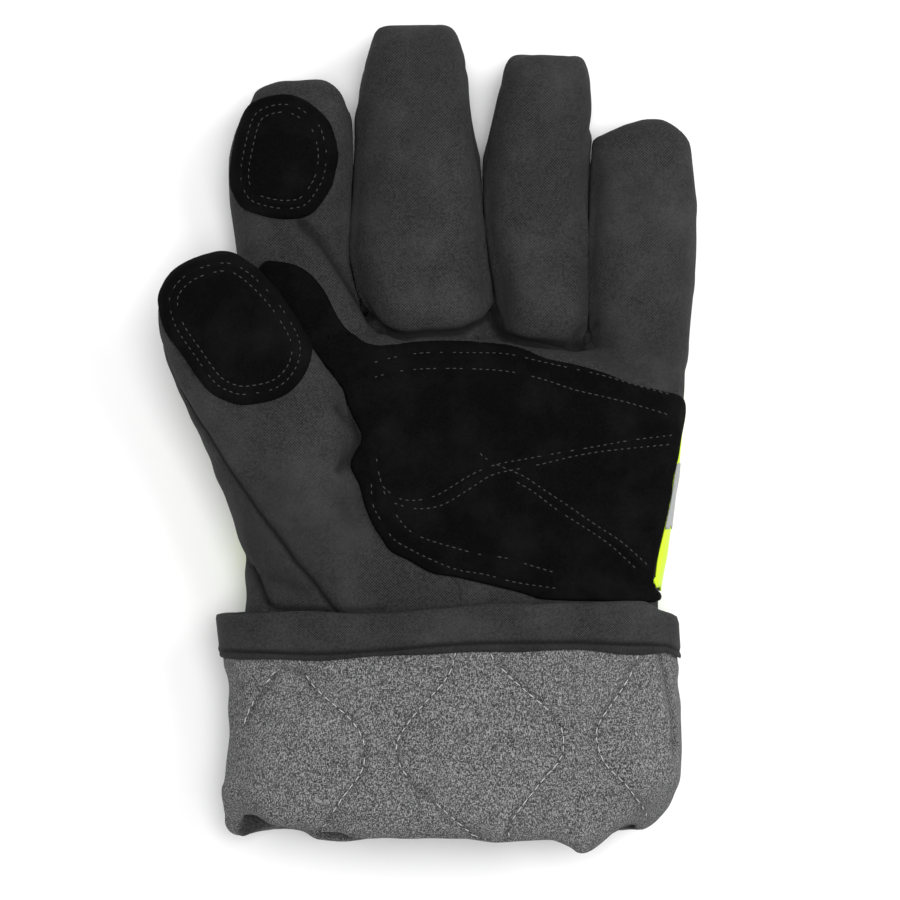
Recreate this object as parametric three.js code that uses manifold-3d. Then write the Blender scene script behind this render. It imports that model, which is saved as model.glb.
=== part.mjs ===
// A firefighter's left-hand glove, lying on its back with the palm up and its quilted cuff turned back.
// The shell is a hollow hand form, cut along its seams into the panels that such a glove is sewn from.
// Millimetres. +X runs towards the little finger, +Y towards the fingertips, +Z up out of the palm.
import * as THREE from 'three';
import { mergeVertices } from 'three/addons/utils/BufferGeometryUtils.js';
import Module from 'manifold-3d';

const wasm = await Module();
wasm.setup();

// Cloth, leather and clearances
const shellWall = 2.6;
const liningWall = 1.6;
const turnedWall = 3;
const bindingWall = 0.8;
const suedeThickness = 1.2;
const tapeThickness = 0.5;
const stripeThickness = 0.25;
const pieceGap = 0.3;
const tapeStack = 2 * pieceGap + tapeThickness + stripeThickness;
const bindingStack = pieceGap + bindingWall;

// Palm
const palmLength = 76;
const palmWidth = 124.6;
const palmThickness = 36;
const palmCentre = 10;
const palmStart = -49;
const fourchetteWidth = 13;
// How far the knuckle edge falls back for each millimetre across
const knuckleSlope = 0.075;

// Cuff, folded back over the wrist
const cuffDepth = 64;
const cuffEaseAcross = 5.9;
const cuffEaseUp = 10;
const cuffWidth = palmWidth + cuffEaseAcross;
const cuffThickness = palmThickness + cuffEaseUp;
const cuffShift = -4.1;
const cuffCentre = palmCentre + cuffShift;
const cuffOverlap = 1.7;
const foldAt = palmStart + cuffOverlap - cuffDepth;
const hemWidth = 12.5;
const hemInside = 8;
const legSlack = 1.3;
const underCuff = turnedWall + 2 * bindingStack + pieceGap;

// Fluorescent tape round the back of the hand
const tapeWidth = 51;
const stripeWidth = 18.5;
const tapeTop = palmStart + 0.763 * palmLength;
const stripeTop = tapeTop - (tapeWidth - stripeWidth) / 2;
const tapeEdgeHeight = palmThickness / 3;

// Thumb
const thumbLength = 103;
const thumbWidth = 40;
const thumbThickness = 27;
const thumbLean = THREE.MathUtils.degToRad(18.9);
const thumbRoot = { across: -0.289, along: 0.044 };

// Mesh fineness
const outerSides = 16;
const innerSides = 8;
const thumbInnerSides = 10;
const palmSides = 26;
const palmInnerSides = 20;
const cuffSides = 30;
const hollowRowStep = 2;

// How square a cross-section is: 2 is an ellipse
const fingerSquareness = 2.5;
const palmSquareness = 2.9;
const cuffSquareness = 2.8;

// Beyond every side, above everything and below it, for cutting solids
const reach = 160;
const aboveAll = 90;
const belowAll = 5;
// Corners closer than this are one
const weldReach = 1e-4;
// The hollow's rounded end: how far back from the tip it lies and is read, and its inset, all in walls
const hollowShoulder = { back: 1.5, read: 2.6, inset: 1 };
const hollowTip = { back: 1, read: 2.2, inset: 2.3 };
const hollowOverrun = 4;

// Each finger's sizes. Its centre and base are in shares of the palm, its rows in shares of its own sizes.
const fingers = {
  index: {
    centre: -0.3828,
    base: 1.018,
    width: 32,
    length: 71.5,
    thickness: 27,
    rows: [
      { along: -0.14, left: -0.34, right: 0.62, under: -0.02, top: 0.96 },
      { along: 0.0, left: -0.39, right: 0.74, under: -0.02, top: 0.98 },
      { along: 0.08, left: -0.42, right: 0.66, under: -0.02, top: 1.0 },
      { along: 0.2, left: -0.47, right: 0.53, under: -0.02, top: 1.02 },
      { along: 0.33, left: -0.5, right: 0.484, under: 0.0, top: 1.04 },
      { along: 0.57, left: -0.557, right: 0.506, under: 0.1, top: 1.12 },
      { along: 0.69, left: -0.553, right: 0.52, under: 0.18, top: 1.18 },
      { along: 0.79, left: -0.49, right: 0.515, under: 0.26, top: 1.2 },
      { along: 0.86, left: -0.43, right: 0.495, under: 0.33, top: 1.19 },
      { along: 0.92, left: -0.36, right: 0.46, under: 0.4, top: 1.15 },
      { along: 0.96, left: -0.317, right: 0.418, under: 0.46, top: 1.1 },
      { along: 0.985, left: -0.22, right: 0.366, under: 0.52, top: 1.04 },
      { along: 1.0, left: -0.14, right: 0.3, under: 0.6, top: 0.96 },
    ],
  },
  middle: {
    centre: -0.0971,
    base: 1.0237,
    width: 37,
    length: 87,
    thickness: 28,
    rows: [
      { along: -0.1, left: -0.12, right: 0.4, under: -0.02, top: 0.66 },
      { along: 0.0, left: -0.23, right: 0.46, under: -0.02, top: 0.8 },
      { along: 0.035, left: -0.29, right: 0.51, under: -0.02, top: 0.95 },
      { along: 0.09, left: -0.366, right: 0.534, under: -0.02, top: 1.05 },
      { along: 0.17, left: -0.465, right: 0.527, under: -0.02, top: 1.08 },
      { along: 0.27, left: -0.51, right: 0.504, under: 0.0, top: 1.06 },
      { along: 0.43, left: -0.495, right: 0.466, under: 0.03, top: 1.05 },
      { along: 0.75, left: -0.457, right: 0.39, under: 0.17, top: 1.09 },
      { along: 0.88, left: -0.412, right: 0.36, under: 0.26, top: 1.09 },
      { along: 0.937, left: -0.374, right: 0.326, under: 0.31, top: 1.06 },
      { along: 0.967, left: -0.351, right: 0.304, under: 0.36, top: 1.01 },
      { along: 0.989, left: -0.336, right: 0.277, under: 0.42, top: 0.94 },
      { along: 1.0, left: -0.306, right: 0.247, under: 0.5, top: 0.85 },
    ],
  },
  ring: {
    centre: 0.1734,
    base: 0.987,
    width: 27.5,
    length: 81.5,
    thickness: 26,
    rows: [
      { along: -0.1, left: -0.26, right: 0.4, under: -0.02, top: 0.68 },
      { along: 0.0, left: -0.33, right: 0.44, under: -0.02, top: 0.82 },
      { along: 0.035, left: -0.351, right: 0.453, under: -0.02, top: 0.97 },
      { along: 0.1, left: -0.372, right: 0.473, under: -0.02, top: 1.06 },
      { along: 0.18, left: -0.412, right: 0.484, under: -0.02, top: 1.08 },
      { along: 0.32, left: -0.494, right: 0.494, under: 0.0, top: 1.06 },
      { along: 0.49, left: -0.54, right: 0.504, under: 0.04, top: 1.06 },
      { along: 0.73, left: -0.504, right: 0.524, under: 0.17, top: 1.1 },
      { along: 0.84, left: -0.443, right: 0.55, under: 0.25, top: 1.1 },
      { along: 0.905, left: -0.392, right: 0.534, under: 0.31, top: 1.07 },
      { along: 0.96, left: -0.346, right: 0.504, under: 0.37, top: 1.01 },
      { along: 0.988, left: -0.3, right: 0.473, under: 0.43, top: 0.93 },
      { along: 1.0, left: -0.26, right: 0.433, under: 0.5, top: 0.84 },
    ],
  },
  little: {
    centre: 0.4077,
    base: 0.925,
    width: 30,
    length: 68.5,
    thickness: 25,
    rows: [
      { along: -0.1, left: -0.4, right: 0.38, under: -0.02, top: 0.98 },
      { along: 0.06, left: -0.46, right: 0.43, under: -0.02, top: 1.02 },
      { along: 0.18, left: -0.485, right: 0.453, under: -0.02, top: 1.05 },
      { along: 0.33, left: -0.495, right: 0.485, under: 0.0, top: 1.08 },
      { along: 0.49, left: -0.495, right: 0.504, under: 0.04, top: 1.1 },
      { along: 0.81, left: -0.471, right: 0.457, under: 0.2, top: 1.13 },
      { along: 0.895, left: -0.453, right: 0.43, under: 0.27, top: 1.1 },
      { along: 0.932, left: -0.383, right: 0.364, under: 0.32, top: 1.05 },
      { along: 0.958, left: -0.243, right: 0.3, under: 0.37, top: 0.99 },
      { along: 0.983, left: -0.09, right: 0.233, under: 0.44, top: 0.92 },
      { along: 1.0, left: 0.03, right: 0.168, under: 0.54, top: 0.8 },
    ],
  },
};

// The palm from inside the cuff to the knuckles, in shares of the palm's length, width and thickness.
// The lift is how much of the room for the turned-back wall is kept below it.
const palmRows = [
  { along: -0.17, left: -0.489, right: 0.44, under: 0.165, top: 1.02, lift: 1 },
  { along: 0.05, left: -0.489, right: 0.446, under: 0.165, top: 1.03, lift: 1 },
  { along: 0.12, left: -0.489, right: 0.451, under: 0.08, top: 1.03, lift: 0.35 },
  { along: 0.22, left: -0.489, right: 0.4615, under: -0.01, top: 1.02, lift: 0 },
  { along: 0.4, left: -0.49, right: 0.476, under: -0.03, top: 1.0, lift: 0 },
  { along: 0.58, left: -0.493, right: 0.488, under: -0.03, top: 0.98, lift: 0 },
  { along: 0.75, left: -0.496, right: 0.499, under: -0.03, top: 0.95, lift: 0 },
  { along: 0.87, left: -0.5, right: 0.506, under: -0.03, top: 0.89, lift: 0 },
  { along: 0.945, left: -0.5, right: 0.508, under: -0.03, top: 0.82, lift: 0 },
  { along: 0.985, left: -0.49, right: 0.5, under: 0.0, top: 0.72, lift: 0 },
  { along: 1.01, left: -0.46, right: 0.47, under: 0.06, top: 0.6, lift: 0 },
];

// The thumb from its root in the palm to its tip, in shares of its own length, width and thickness
const thumbRows = [
  { along: 0.0, left: -0.3, right: 0.4, under: 0.27, top: 1.3 },
  { along: 0.12, left: -0.42, right: 0.44, under: 0.27, top: 1.4 },
  { along: 0.25, left: -0.49, right: 0.43, under: 0.3, top: 1.47 },
  { along: 0.36, left: -0.495, right: 0.46, under: 0.4, top: 1.52 },
  { along: 0.44, left: -0.508, right: 0.54, under: 0.54, top: 1.55 },
  { along: 0.54, left: -0.526, right: 0.56, under: 0.72, top: 1.62 },
  { along: 0.61, left: -0.543, right: 0.5, under: 0.84, top: 1.7 },
  { along: 0.7, left: -0.566, right: 0.45, under: 0.94, top: 1.78 },
  { along: 0.78, left: -0.569, right: 0.42, under: 0.99, top: 1.84 },
  { along: 0.85, left: -0.558, right: 0.37, under: 1.02, top: 1.87 },
  { along: 0.91, left: -0.528, right: 0.29, under: 1.06, top: 1.87 },
  { along: 0.95, left: -0.475, right: 0.22, under: 1.1, top: 1.83 },
  { along: 0.98, left: -0.38, right: 0.14, under: 1.16, top: 1.77 },
  { along: 1.0, left: -0.25, right: 0.02, under: 1.27, top: 1.66 },
];

// The turned-back cuff from its fold to its hem, in shares of its depth, width and thickness
const cuffRows = [
  { along: 0.0, left: -0.455, right: 0.41, under: 0.06, top: 0.92, lift: 0 },
  { along: 0.03, left: -0.476, right: 0.435, under: 0.0, top: 0.97, lift: 0 },
  { along: 0.075, left: -0.479, right: 0.459, under: -0.02, top: 1.0, lift: 0 },
  { along: 0.16, left: -0.487, right: 0.474, under: -0.03, top: 1.02, lift: 0 },
  { along: 0.25, left: -0.479, right: 0.494, under: -0.03, top: 1.01, lift: 0 },
  { along: 0.42, left: -0.47, right: 0.504, under: -0.03, top: 0.99, lift: 0 },
  { along: 0.69, left: -0.472, right: 0.496, under: -0.03, top: 0.97, lift: 0 },
  { along: 0.8, left: -0.482, right: 0.4945, under: -0.02, top: 0.97, lift: 1 },
  { along: 1.0, left: -0.4915, right: 0.491, under: -0.02, top: 0.97, lift: 1 },
];
// The lining's inner leg: its outer face from the fold up, then where it is read inside the palm
const mouthRows = [
  { along: 0.125, left: -0.447, right: 0.432, under: 0.125, top: 0.9 },
  { along: 0.25, left: -0.447, right: 0.448, under: 0.12, top: 0.88 },
  { along: 0.5, left: -0.435, right: 0.452, under: 0.15, top: 0.84 },
];
const legRows = [{ along: -0.19 }, { along: 0.05 }, { along: 0.17 }];
// How far the fold sags, across the width, in shares of the cuff's depth on the palm side and the back
const foldSag = [
  { across: -0.45, front: -0.02, back: 0.0 },
  { across: -0.3, front: 0.004, back: 0.01 },
  { across: 0.22, front: 0.006, back: 0.01 },
  { across: 0.285, front: 0.05, back: 0.005 },
  { across: 0.36, front: 0.004, back: 0.0 },
  { across: 0.45, front: -0.04, back: -0.02 },
];
const sagReach = 0.25;

// Seam between the front and the back of the hand, in shares of the palm's length and thickness,
// and how wide the fourchettes stay on their way to the tips
const sideSeam = [
  { along: -0.4, height: 0.53, width: 1 },
  { along: 0.118, height: 0.514, width: 1 },
  { along: 0.908, height: 0.389, width: 1 },
  { along: 1.434, height: 0.417, width: 1 },
  { along: 1.763, height: 0.5, width: 0.85 },
  { along: 2.066, height: 0.542, width: 0.5 },
  { along: 2.5, height: 0.56, width: 0.5 },
];

// Outlines seen from above the palm, in shares of the palm's width from its centre and of its length
const palmPatchOutline = [
  { across: -0.442, along: 1.29 },
  { across: -0.41, along: 1.29 },
  { across: -0.37, along: 1.275 },
  { across: -0.336, along: 1.238 },
  { across: -0.305, along: 1.172 },
  { across: -0.278, along: 1.083 },
  { across: -0.244, along: 1.021 },
  { across: -0.193, along: 0.98 },
  { across: -0.08, along: 0.991 },
  { across: 0.019, along: 0.987 },
  { across: 0.12, along: 0.973 },
  { across: 0.185, along: 0.932 },
  { across: 0.25, along: 0.91 },
  { across: 0.3175, along: 0.881 },
  { across: 0.383, along: 0.84 },
  { across: 0.45, along: 0.814 },
  { across: 0.497, along: 0.781 },
  { across: 0.488, along: 0.641 },
  { across: 0.473, along: 0.512 },
  { across: 0.457, along: 0.357 },
  { across: 0.439, along: 0.24 },
  { across: 0.425, along: 0.11 },
  { across: 0.439, along: 0.074 },
  { across: 0.434, along: 0.04 },
  { across: 0.3175, along: 0.044 },
  { across: 0.185, along: 0.052 },
  { across: 0.1445, along: 0.07 },
  { across: 0.066, along: 0.103 },
  { across: -0.013, along: 0.133 },
  { across: -0.067, along: 0.147 },
  { across: -0.118, along: 0.192 },
  { across: -0.159, along: 0.228 },
  { across: -0.179, along: 0.273 },
  { across: -0.199, along: 0.328 },
  { across: -0.215, along: 0.39 },
  { across: -0.2285, along: 0.468 },
  { across: -0.2375, along: 0.527 },
  { across: -0.242, along: 0.59 },
  { across: -0.26, along: 0.67 },
  { across: -0.296, along: 0.781 },
  { across: -0.352, along: 0.892 },
  { across: -0.397, along: 1.02 },
  { across: -0.435, along: 1.15 },
  { across: -0.458, along: 1.24 },
];
const patchSideEdge = [
  { across: 0.505, along: 0.86 },
  { across: 0.5, along: 0.781 },
  { across: 0.491, along: 0.641 },
  { across: 0.476, along: 0.512 },
  { across: 0.46, along: 0.357 },
  { across: 0.442, along: 0.24 },
  { across: 0.428, along: 0.11 },
  { across: 0.442, along: 0.074 },
  { across: 0.437, along: 0.02 },
];
// The thumb's set-in line round the ball of the thumb, and the seam that divides its front from its back
const thumbZone = [
  { across: -0.415, along: -0.25 },
  { across: -0.435, along: 0.033 },
  { across: -0.4465, along: 0.081 },
  { across: -0.471, along: 0.155 },
  { across: -0.51, along: 0.247 },
  { across: -0.6, along: 0.523 },
  { across: -0.25, along: 0.726 },
  { across: -0.232, along: 0.645 },
  { across: -0.232, along: 0.578 },
  { across: -0.225, along: 0.523 },
  { across: -0.206, along: 0.442 },
  { across: -0.184, along: 0.346 },
  { across: -0.148, along: 0.265 },
  { across: -0.098, along: 0.21 },
  { across: -0.044, along: 0.17 },
  { across: -0.004, along: 0.1 },
  { across: 0.005, along: -0.25 },
];
// Where the back rolls up over the side at the wrist, beside the thumb
const backRoll = [
  { across: -0.8, along: -0.3 },
  { across: -0.4, along: -0.3 },
  { across: -0.4, along: 0.3 },
  { across: -0.8, along: 0.3 },
];
const thumbSeam = [
  { across: -0.2, along: -0.3 },
  { across: -0.245, along: -0.05 },
  { across: -0.291, along: 0.026 },
  { across: -0.332, along: 0.118 },
  { across: -0.375, along: 0.199 },
  { across: -0.408, along: 0.28 },
  { across: -0.4465, along: 0.357 },
  { across: -0.485, along: 0.45 },
  { across: -0.523, along: 0.538 },
  { across: -0.559, along: 0.641 },
  { across: -0.597, along: 0.737 },
  { across: -0.631, along: 0.844 },
  { across: -0.649, along: 0.914 },
  { across: -0.673, along: 1.028 },
  { across: -0.72, along: 1.2 },
  { across: -0.9, along: 1.6 },
];
// The suede over the thumb's tip and the index finger's, in shares of their own width and length
const thumbPatchOutline = [
  { across: 0.3, along: 1.1 },
  { across: -0.65, along: 1.1 },
  { across: -0.65, along: 0.86 },
  { across: -0.49, along: 0.84 },
  { across: -0.465, along: 0.8 },
  { across: -0.428, along: 0.757 },
  { across: -0.383, along: 0.69 },
  { across: -0.324, along: 0.638 },
  { across: -0.198, along: 0.595 },
  { across: -0.095, along: 0.578 },
  { across: 0.089, along: 0.568 },
  { across: 0.224, along: 0.579 },
  { across: 0.342, along: 0.613 },
  { across: 0.5, along: 0.68 },
];
const indexPatchOutline = [
  { across: -0.065, along: 0.938 },
  { across: 0.128, along: 0.915 },
  { across: 0.311, along: 0.844 },
  { across: 0.37, along: 0.78 },
  { across: 0.399, along: 0.707 },
  { across: 0.38, along: 0.63 },
  { across: 0.338, along: 0.574 },
  { across: 0.189, along: 0.48 },
  { across: 0.03, along: 0.457 },
  { across: -0.126, along: 0.457 },
  { across: -0.3, along: 0.475 },
  { across: -0.423, along: 0.5035 },
  { across: -0.515, along: 0.578 },
  { across: -0.52, along: 0.625 },
  { across: -0.515, along: 0.672 },
  { across: -0.415, along: 0.856 },
  { across: -0.292, along: 0.915 },
];
// Seams at the foot of the middle and ring fingers, in shares of the palm
const middleBaseSeam = [
  { across: -0.243, along: 2.17 },
  { across: -0.246, along: 1.7 },
  { across: -0.25, along: 1.46 },
  { across: -0.2535, along: 1.33 },
  { across: -0.243, along: 1.21 },
  { across: -0.222, along: 1.11 },
  { across: -0.181, along: 1.054 },
  { across: -0.139, along: 1.017 },
  { across: -0.08, along: 1.028 },
  { across: -0.004, along: 1.031 },
  { across: 0.055, along: 1.076 },
  { across: 0.069, along: 1.12 },
  { across: 0.074, along: 1.17 },
  { across: 0.0585, along: 1.33 },
  { across: 0.047, along: 1.51 },
  { across: 0.0425, along: 1.7 },
  { across: 0.04, along: 2.17 },
];
const ringBaseSeam = [
  { across: 0.04, along: 2.17 },
  { across: 0.0425, along: 1.7 },
  { across: 0.047, along: 1.51 },
  { across: 0.0585, along: 1.33 },
  { across: 0.074, along: 1.17 },
  { across: 0.072, along: 1.08 },
  { across: 0.085, along: 1.028 },
  { across: 0.133, along: 1.002 },
  { across: 0.192, along: 0.984 },
  { across: 0.261, along: 0.969 },
  { across: 0.282, along: 0.988 },
  { across: 0.286, along: 1.17 },
  { across: 0.2855, along: 1.33 },
  { across: 0.2875, along: 1.51 },
  { across: 0.289, along: 1.7 },
  { across: 0.3, along: 2.17 },
];
const fingerReach = 2.5;

// Strips between neighbouring fingers: where the crotch lies in shares of the palm, and how far up each
// finger the strip runs in shares of that finger
const fourchettes = [
  { left: 'index', right: 'middle', crotch: 0.98, leftEnd: 0.875, rightEnd: 0.864 },
  { left: 'middle', right: 'ring', crotch: 0.947, leftEnd: 0.864, rightEnd: 0.871 },
  { left: 'ring', right: 'little', crotch: 0.914, leftEnd: 0.859, rightEnd: 0.842 },
];

const colours = {
  cloth: { color: 0x38383a, roughness: 0.92 },
  suede: { color: 0x141416, roughness: 0.96 },
  lining: { color: 0x7c7c7c, roughness: 0.95 },
  binding: { color: 0x333335, roughness: 0.9 },
  yellow: { color: 0xdcff00, roughness: 0.6 },
  silver: { color: 0xb4b8ba, roughness: 0.35, metalness: 0.3 },
};

// The value of one column of a table, read by another of its columns
function between(table, key, place, column) {
  const last = table.length - 1;
  if (place <= table[0][key]) return table[0][column];
  if (place >= table[last][key]) return table[last][column];
  const next = table.findIndex((row) => row[key] >= place);
  const [before, after] = [table[next - 1], table[next]];
  return THREE.MathUtils.mapLinear(place, before[key], after[key], before[column], after[column]);
}

// A closed solid from an indexed or plain geometry, turned to face outwards
function toSolid(geometry) {
  const bare = geometry.clone();
  bare.deleteAttribute('normal');
  bare.deleteAttribute('uv');
  const merged = mergeVertices(bare, weldReach);
  const corners = Array.from(merged.index.array);
  const build = (list) =>
    new wasm.Manifold(
      new wasm.Mesh({
        numProp: 3,
        vertProperties: new Float32Array(merged.attributes.position.array),
        triVerts: new Uint32Array(list),
      }),
    );
  const solid = build(corners);
  return solid.volume() > 0 ? solid : build(corners.reverse());
}

// Skins a run of rings that all have the same number of points. A looped run closes on itself.
function skin(rings, looped) {
  const sides = rings[0].length;
  const points = rings.flat();
  const index = [];
  for (let r = 0; r < rings.length - (looped ? 0 : 1); r += 1) {
    const next = ((r + 1) % rings.length) * sides;
    for (let s = 0; s < sides; s += 1) {
      const [a, b] = [s, (s + 1) % sides];
      index.push(r * sides + a, r * sides + b, next + a, r * sides + b, next + b, next + a);
    }
  }
  for (const end of looped ? [] : [0, rings.length - 1]) {
    const middle = new THREE.Vector3();
    rings[end].forEach((p) => middle.addScaledVector(p, 1 / sides));
    const centre = points.push(middle) - 1;
    for (let s = 0; s < sides; s += 1) {
      const [a, b] = [end * sides + s, end * sides + ((s + 1) % sides)];
      index.push(...(end === 0 ? [b, a, centre] : [a, b, centre]));
    }
  }
  const geometry = new THREE.BufferGeometry().setFromPoints(points);
  geometry.setIndex(index);
  return toSolid(geometry);
}

const power = (value, exponent) => Math.sign(value) * Math.abs(value) ** exponent;

// One cross-section: a superellipse between its sides, underside and top, flattened at its floor
function crossSection(box, sides, squareness, place) {
  const ring = [];
  for (let s = 0; s < sides; s += 1) {
    const turn = (THREE.MathUtils.degToRad(360) * (s + 0.5)) / sides;
    const sideways = (1 + power(Math.cos(turn), 2 / squareness)) / 2;
    const upwards = (1 + power(Math.sin(turn), 2 / squareness)) / 2;
    const height = THREE.MathUtils.lerp(box.under, box.top, upwards);
    ring.push(place(THREE.MathUtils.lerp(box.left, box.right, sideways), Math.max(height, box.floor)));
  }
  return ring;
}

// A form's cross-section in millimetres at a distance along it, grown outwards by an amount
function sectionBox(form, distance, grow) {
  const read = (column) => between(form.rows, 'along', distance / form.length, column);
  return {
    left: read('left') * form.width - grow,
    right: read('right') * form.width + grow,
    under: read('under') * form.thickness - grow,
    top: read('top') * form.thickness + grow,
    floor: form.floorAt(distance) - grow,
  };
}

// A finger, thumb or palm as a solid, grown outwards, or shrunk for the hollow inside
function loft(form, grow, sides) {
  const first = form.rows[0].along * form.length;
  const end = form.rows.at(-1).along * form.length;
  const places = form.rows.map((row) => row.along * form.length);
  let kept = places.map((distance) => ({ at: distance, read: distance, grow }));
  if (grow < 0) {
    kept = kept.filter((row, i) => i % hollowRowStep === 0 && row.at < end + hollowShoulder.read * grow);
    for (const { back, read, inset } of [hollowShoulder, hollowTip]) {
      kept.push({ at: end + back * grow, read: end + read * grow, grow: inset * grow });
    }
    kept[0].at -= form.openEnd;
  } else {
    kept[0].at = first - grow;
    kept.at(-1).at = end + grow;
  }
  const rings = kept.map((row) =>
    crossSection(sectionBox(form, row.read, row.grow), sides, form.squareness, (across, height) =>
      form.place(across, row.at, height),
    ),
  );
  return skin(rings, false);
}

function fingerForm(finger) {
  const centre = palmCentre + finger.centre * palmWidth;
  const base = palmStart + finger.base * palmLength;
  return {
    ...finger,
    centre,
    base,
    openEnd: 0,
    floorAt: () => 0,
    squareness: fingerSquareness,
    place: (across, along, height) => new THREE.Vector3(centre + across, base + along, height),
  };
}

const palmForm = {
  rows: palmRows,
  width: palmWidth,
  length: palmLength,
  thickness: palmThickness,
  squareness: palmSquareness,
  openEnd: hollowOverrun,
  floorAt: (distance) => {
    const lift = between(palmRows, 'along', distance / palmLength, 'lift');
    return THREE.MathUtils.lerp(tapeStack, underCuff, lift);
  },
  place: (across, along, height) => {
    const share = Math.max(along / palmLength, 0);
    const fallBack = knuckleSlope * across * share ** 2;
    return new THREE.Vector3(palmCentre + across, palmStart + along - fallBack, height);
  },
};

const root = new THREE.Vector2(
  palmCentre + thumbRoot.across * palmWidth,
  palmStart + thumbRoot.along * palmLength,
);
function onThumb(across, along, height) {
  const x = root.x + across * Math.cos(thumbLean) - along * Math.sin(thumbLean);
  const y = root.y + across * Math.sin(thumbLean) + along * Math.cos(thumbLean);
  return new THREE.Vector3(x, y, height);
}
const thumbForm = {
  rows: thumbRows,
  width: thumbWidth,
  length: thumbLength,
  thickness: thumbThickness,
  squareness: fingerSquareness,
  openEnd: 0,
  floorAt: () => 0,
  place: onThumb,
};

const fingerForms = {};
Object.entries(fingers).forEach(([name, size]) => {
  fingerForms[name] = fingerForm(size);
});

// The hand without its thumb
function hand(grow) {
  const [fingerSides, middleSides] = grow < 0 ? [innerSides, palmInnerSides] : [outerSides, palmSides];
  const parts = Object.values(fingerForms).map((form) => loft(form, grow, fingerSides));
  parts.push(loft(palmForm, grow, middleSides));
  return wasm.Manifold.union(parts);
}

// A sheet of even thickness that lies over a form
function layer(form, lift, thickness) {
  return form(lift + thickness).subtract(form(lift));
}

// Moves every corner of an outline outwards
function spread(outline, distance) {
  const turn = THREE.ShapeUtils.isClockWise(outline) ? 1 : -1;
  return outline.map((corner, i) => {
    const before = outline.at(i - 1);
    const after = outline[(i + 1) % outline.length];
    const out = after.clone().sub(before).normalize().multiplyScalar(distance * turn);
    return new THREE.Vector2(corner.x - out.y, corner.y + out.x);
  });
}

// A straight-sided block over an outline seen from above
function prism(outline, low, high, grow = 0) {
  const shape = new THREE.Shape(grow ? spread(outline, grow) : outline);
  const geometry = new THREE.ExtrudeGeometry(shape, { depth: high - low, bevelEnabled: false, steps: 1 });
  return toSolid(geometry.translate(0, 0, low));
}

const palmPoint = ({ across, along }) =>
  new THREE.Vector2(palmCentre + across * palmWidth, palmStart + along * palmLength);
const thumbPoint = ({ across, along }) => {
  const spot = onThumb(across * thumbWidth, along * thumbLength, 0);
  return new THREE.Vector2(spot.x, spot.y);
};
const indexPoint = ({ across, along }) => {
  const finger = fingerForms.index;
  return new THREE.Vector2(finger.centre + across * finger.width, finger.base + along * finger.length);
};

// The space between two heights that both follow the side seam
function seamLayer(low, high) {
  const rings = sideSeam.map((row) => {
    const y = palmStart + row.along * palmLength;
    const height = row.height * palmThickness;
    return [
      new THREE.Vector3(-reach, y, low(height, row)),
      new THREE.Vector3(reach, y, low(height, row)),
      new THREE.Vector3(reach, y, high(height, row)),
      new THREE.Vector3(-reach, y, high(height, row)),
    ];
  });
  return skin(rings, false);
}

// The space above the thumb's own side seams
const thumbOverrun = 0.5;
const thumbPatchDrop = 2;
function aboveThumbSeam(lift) {
  const rings = thumbRows.map((row, i) => {
    const overrun = { 0: -thumbOverrun, [thumbRows.length - 1]: thumbOverrun };
    const along = (row.along + (overrun[i] ?? 0)) * thumbLength;
    const height = ((row.under + row.top) / 2) * thumbThickness + lift;
    return [
      onThumb(-reach, along, height),
      onThumb(reach, along, height),
      onThumb(reach, along, aboveAll),
      onThumb(-reach, along, aboveAll),
    ];
  });
  return skin(rings, false);
}

const largest = (solid) =>
  solid.decompose().reduce((best, piece) => (piece.volume() > best.volume() ? piece : best));

// Hand and thumb shells
const handOuter = hand(0);
const thumbOuter = loft(thumbForm, 0, outerSides);
const thumbHollow = loft(thumbForm, -shellWall, thumbInnerSides)
  .subtract(loft(fingerForms.index, 0, outerSides));
const hollow = hand(-shellWall).add(thumbHollow);
const shell = handOuter.add(thumbOuter).subtract(hollow);

const zone = thumbZone.map(palmPoint);
const frontSpace = seamLayer((height) => height + pieceGap / 2, () => aboveAll);
const backSpace = seamLayer(() => -aboveAll, (height) => height - pieceGap / 2)
  .add(prism(backRoll.map(palmPoint), 0, aboveAll));
const zoneSpace = frontSpace.intersect(prism(zone, 0, aboveAll));
const zoneSpaceWide = seamLayer((height) => height - pieceGap / 2, () => aboveAll)
  .intersect(prism(zone, 0, aboveAll, pieceGap));
const thumbShell = shell.subtract(hand(pieceGap).subtract(zoneSpace));
const handShell = shell.intersect(handOuter).subtract(zoneSpaceWide);

// Thumb: the front lies between its seam and the palm, the back is the rest
const seamLine = thumbSeam.map(palmPoint);
const farRight = [new THREE.Vector2(reach, seamLine.at(-1).y), new THREE.Vector2(reach, seamLine[0].y)];
const thumbFrontSide = [...seamLine, ...farRight];
const thumbFrontSpace = prism(thumbFrontSide, 0, aboveAll).intersect(aboveThumbSeam(0));
const thumbFrontSpaceWide = prism(thumbFrontSide, 0, aboveAll, pieceGap)
  .intersect(aboveThumbSeam(-pieceGap));
const thumbFront = largest(thumbShell.intersect(thumbFrontSpace));
const thumbBack = largest(thumbShell.subtract(thumbFrontSpaceWide));

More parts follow.
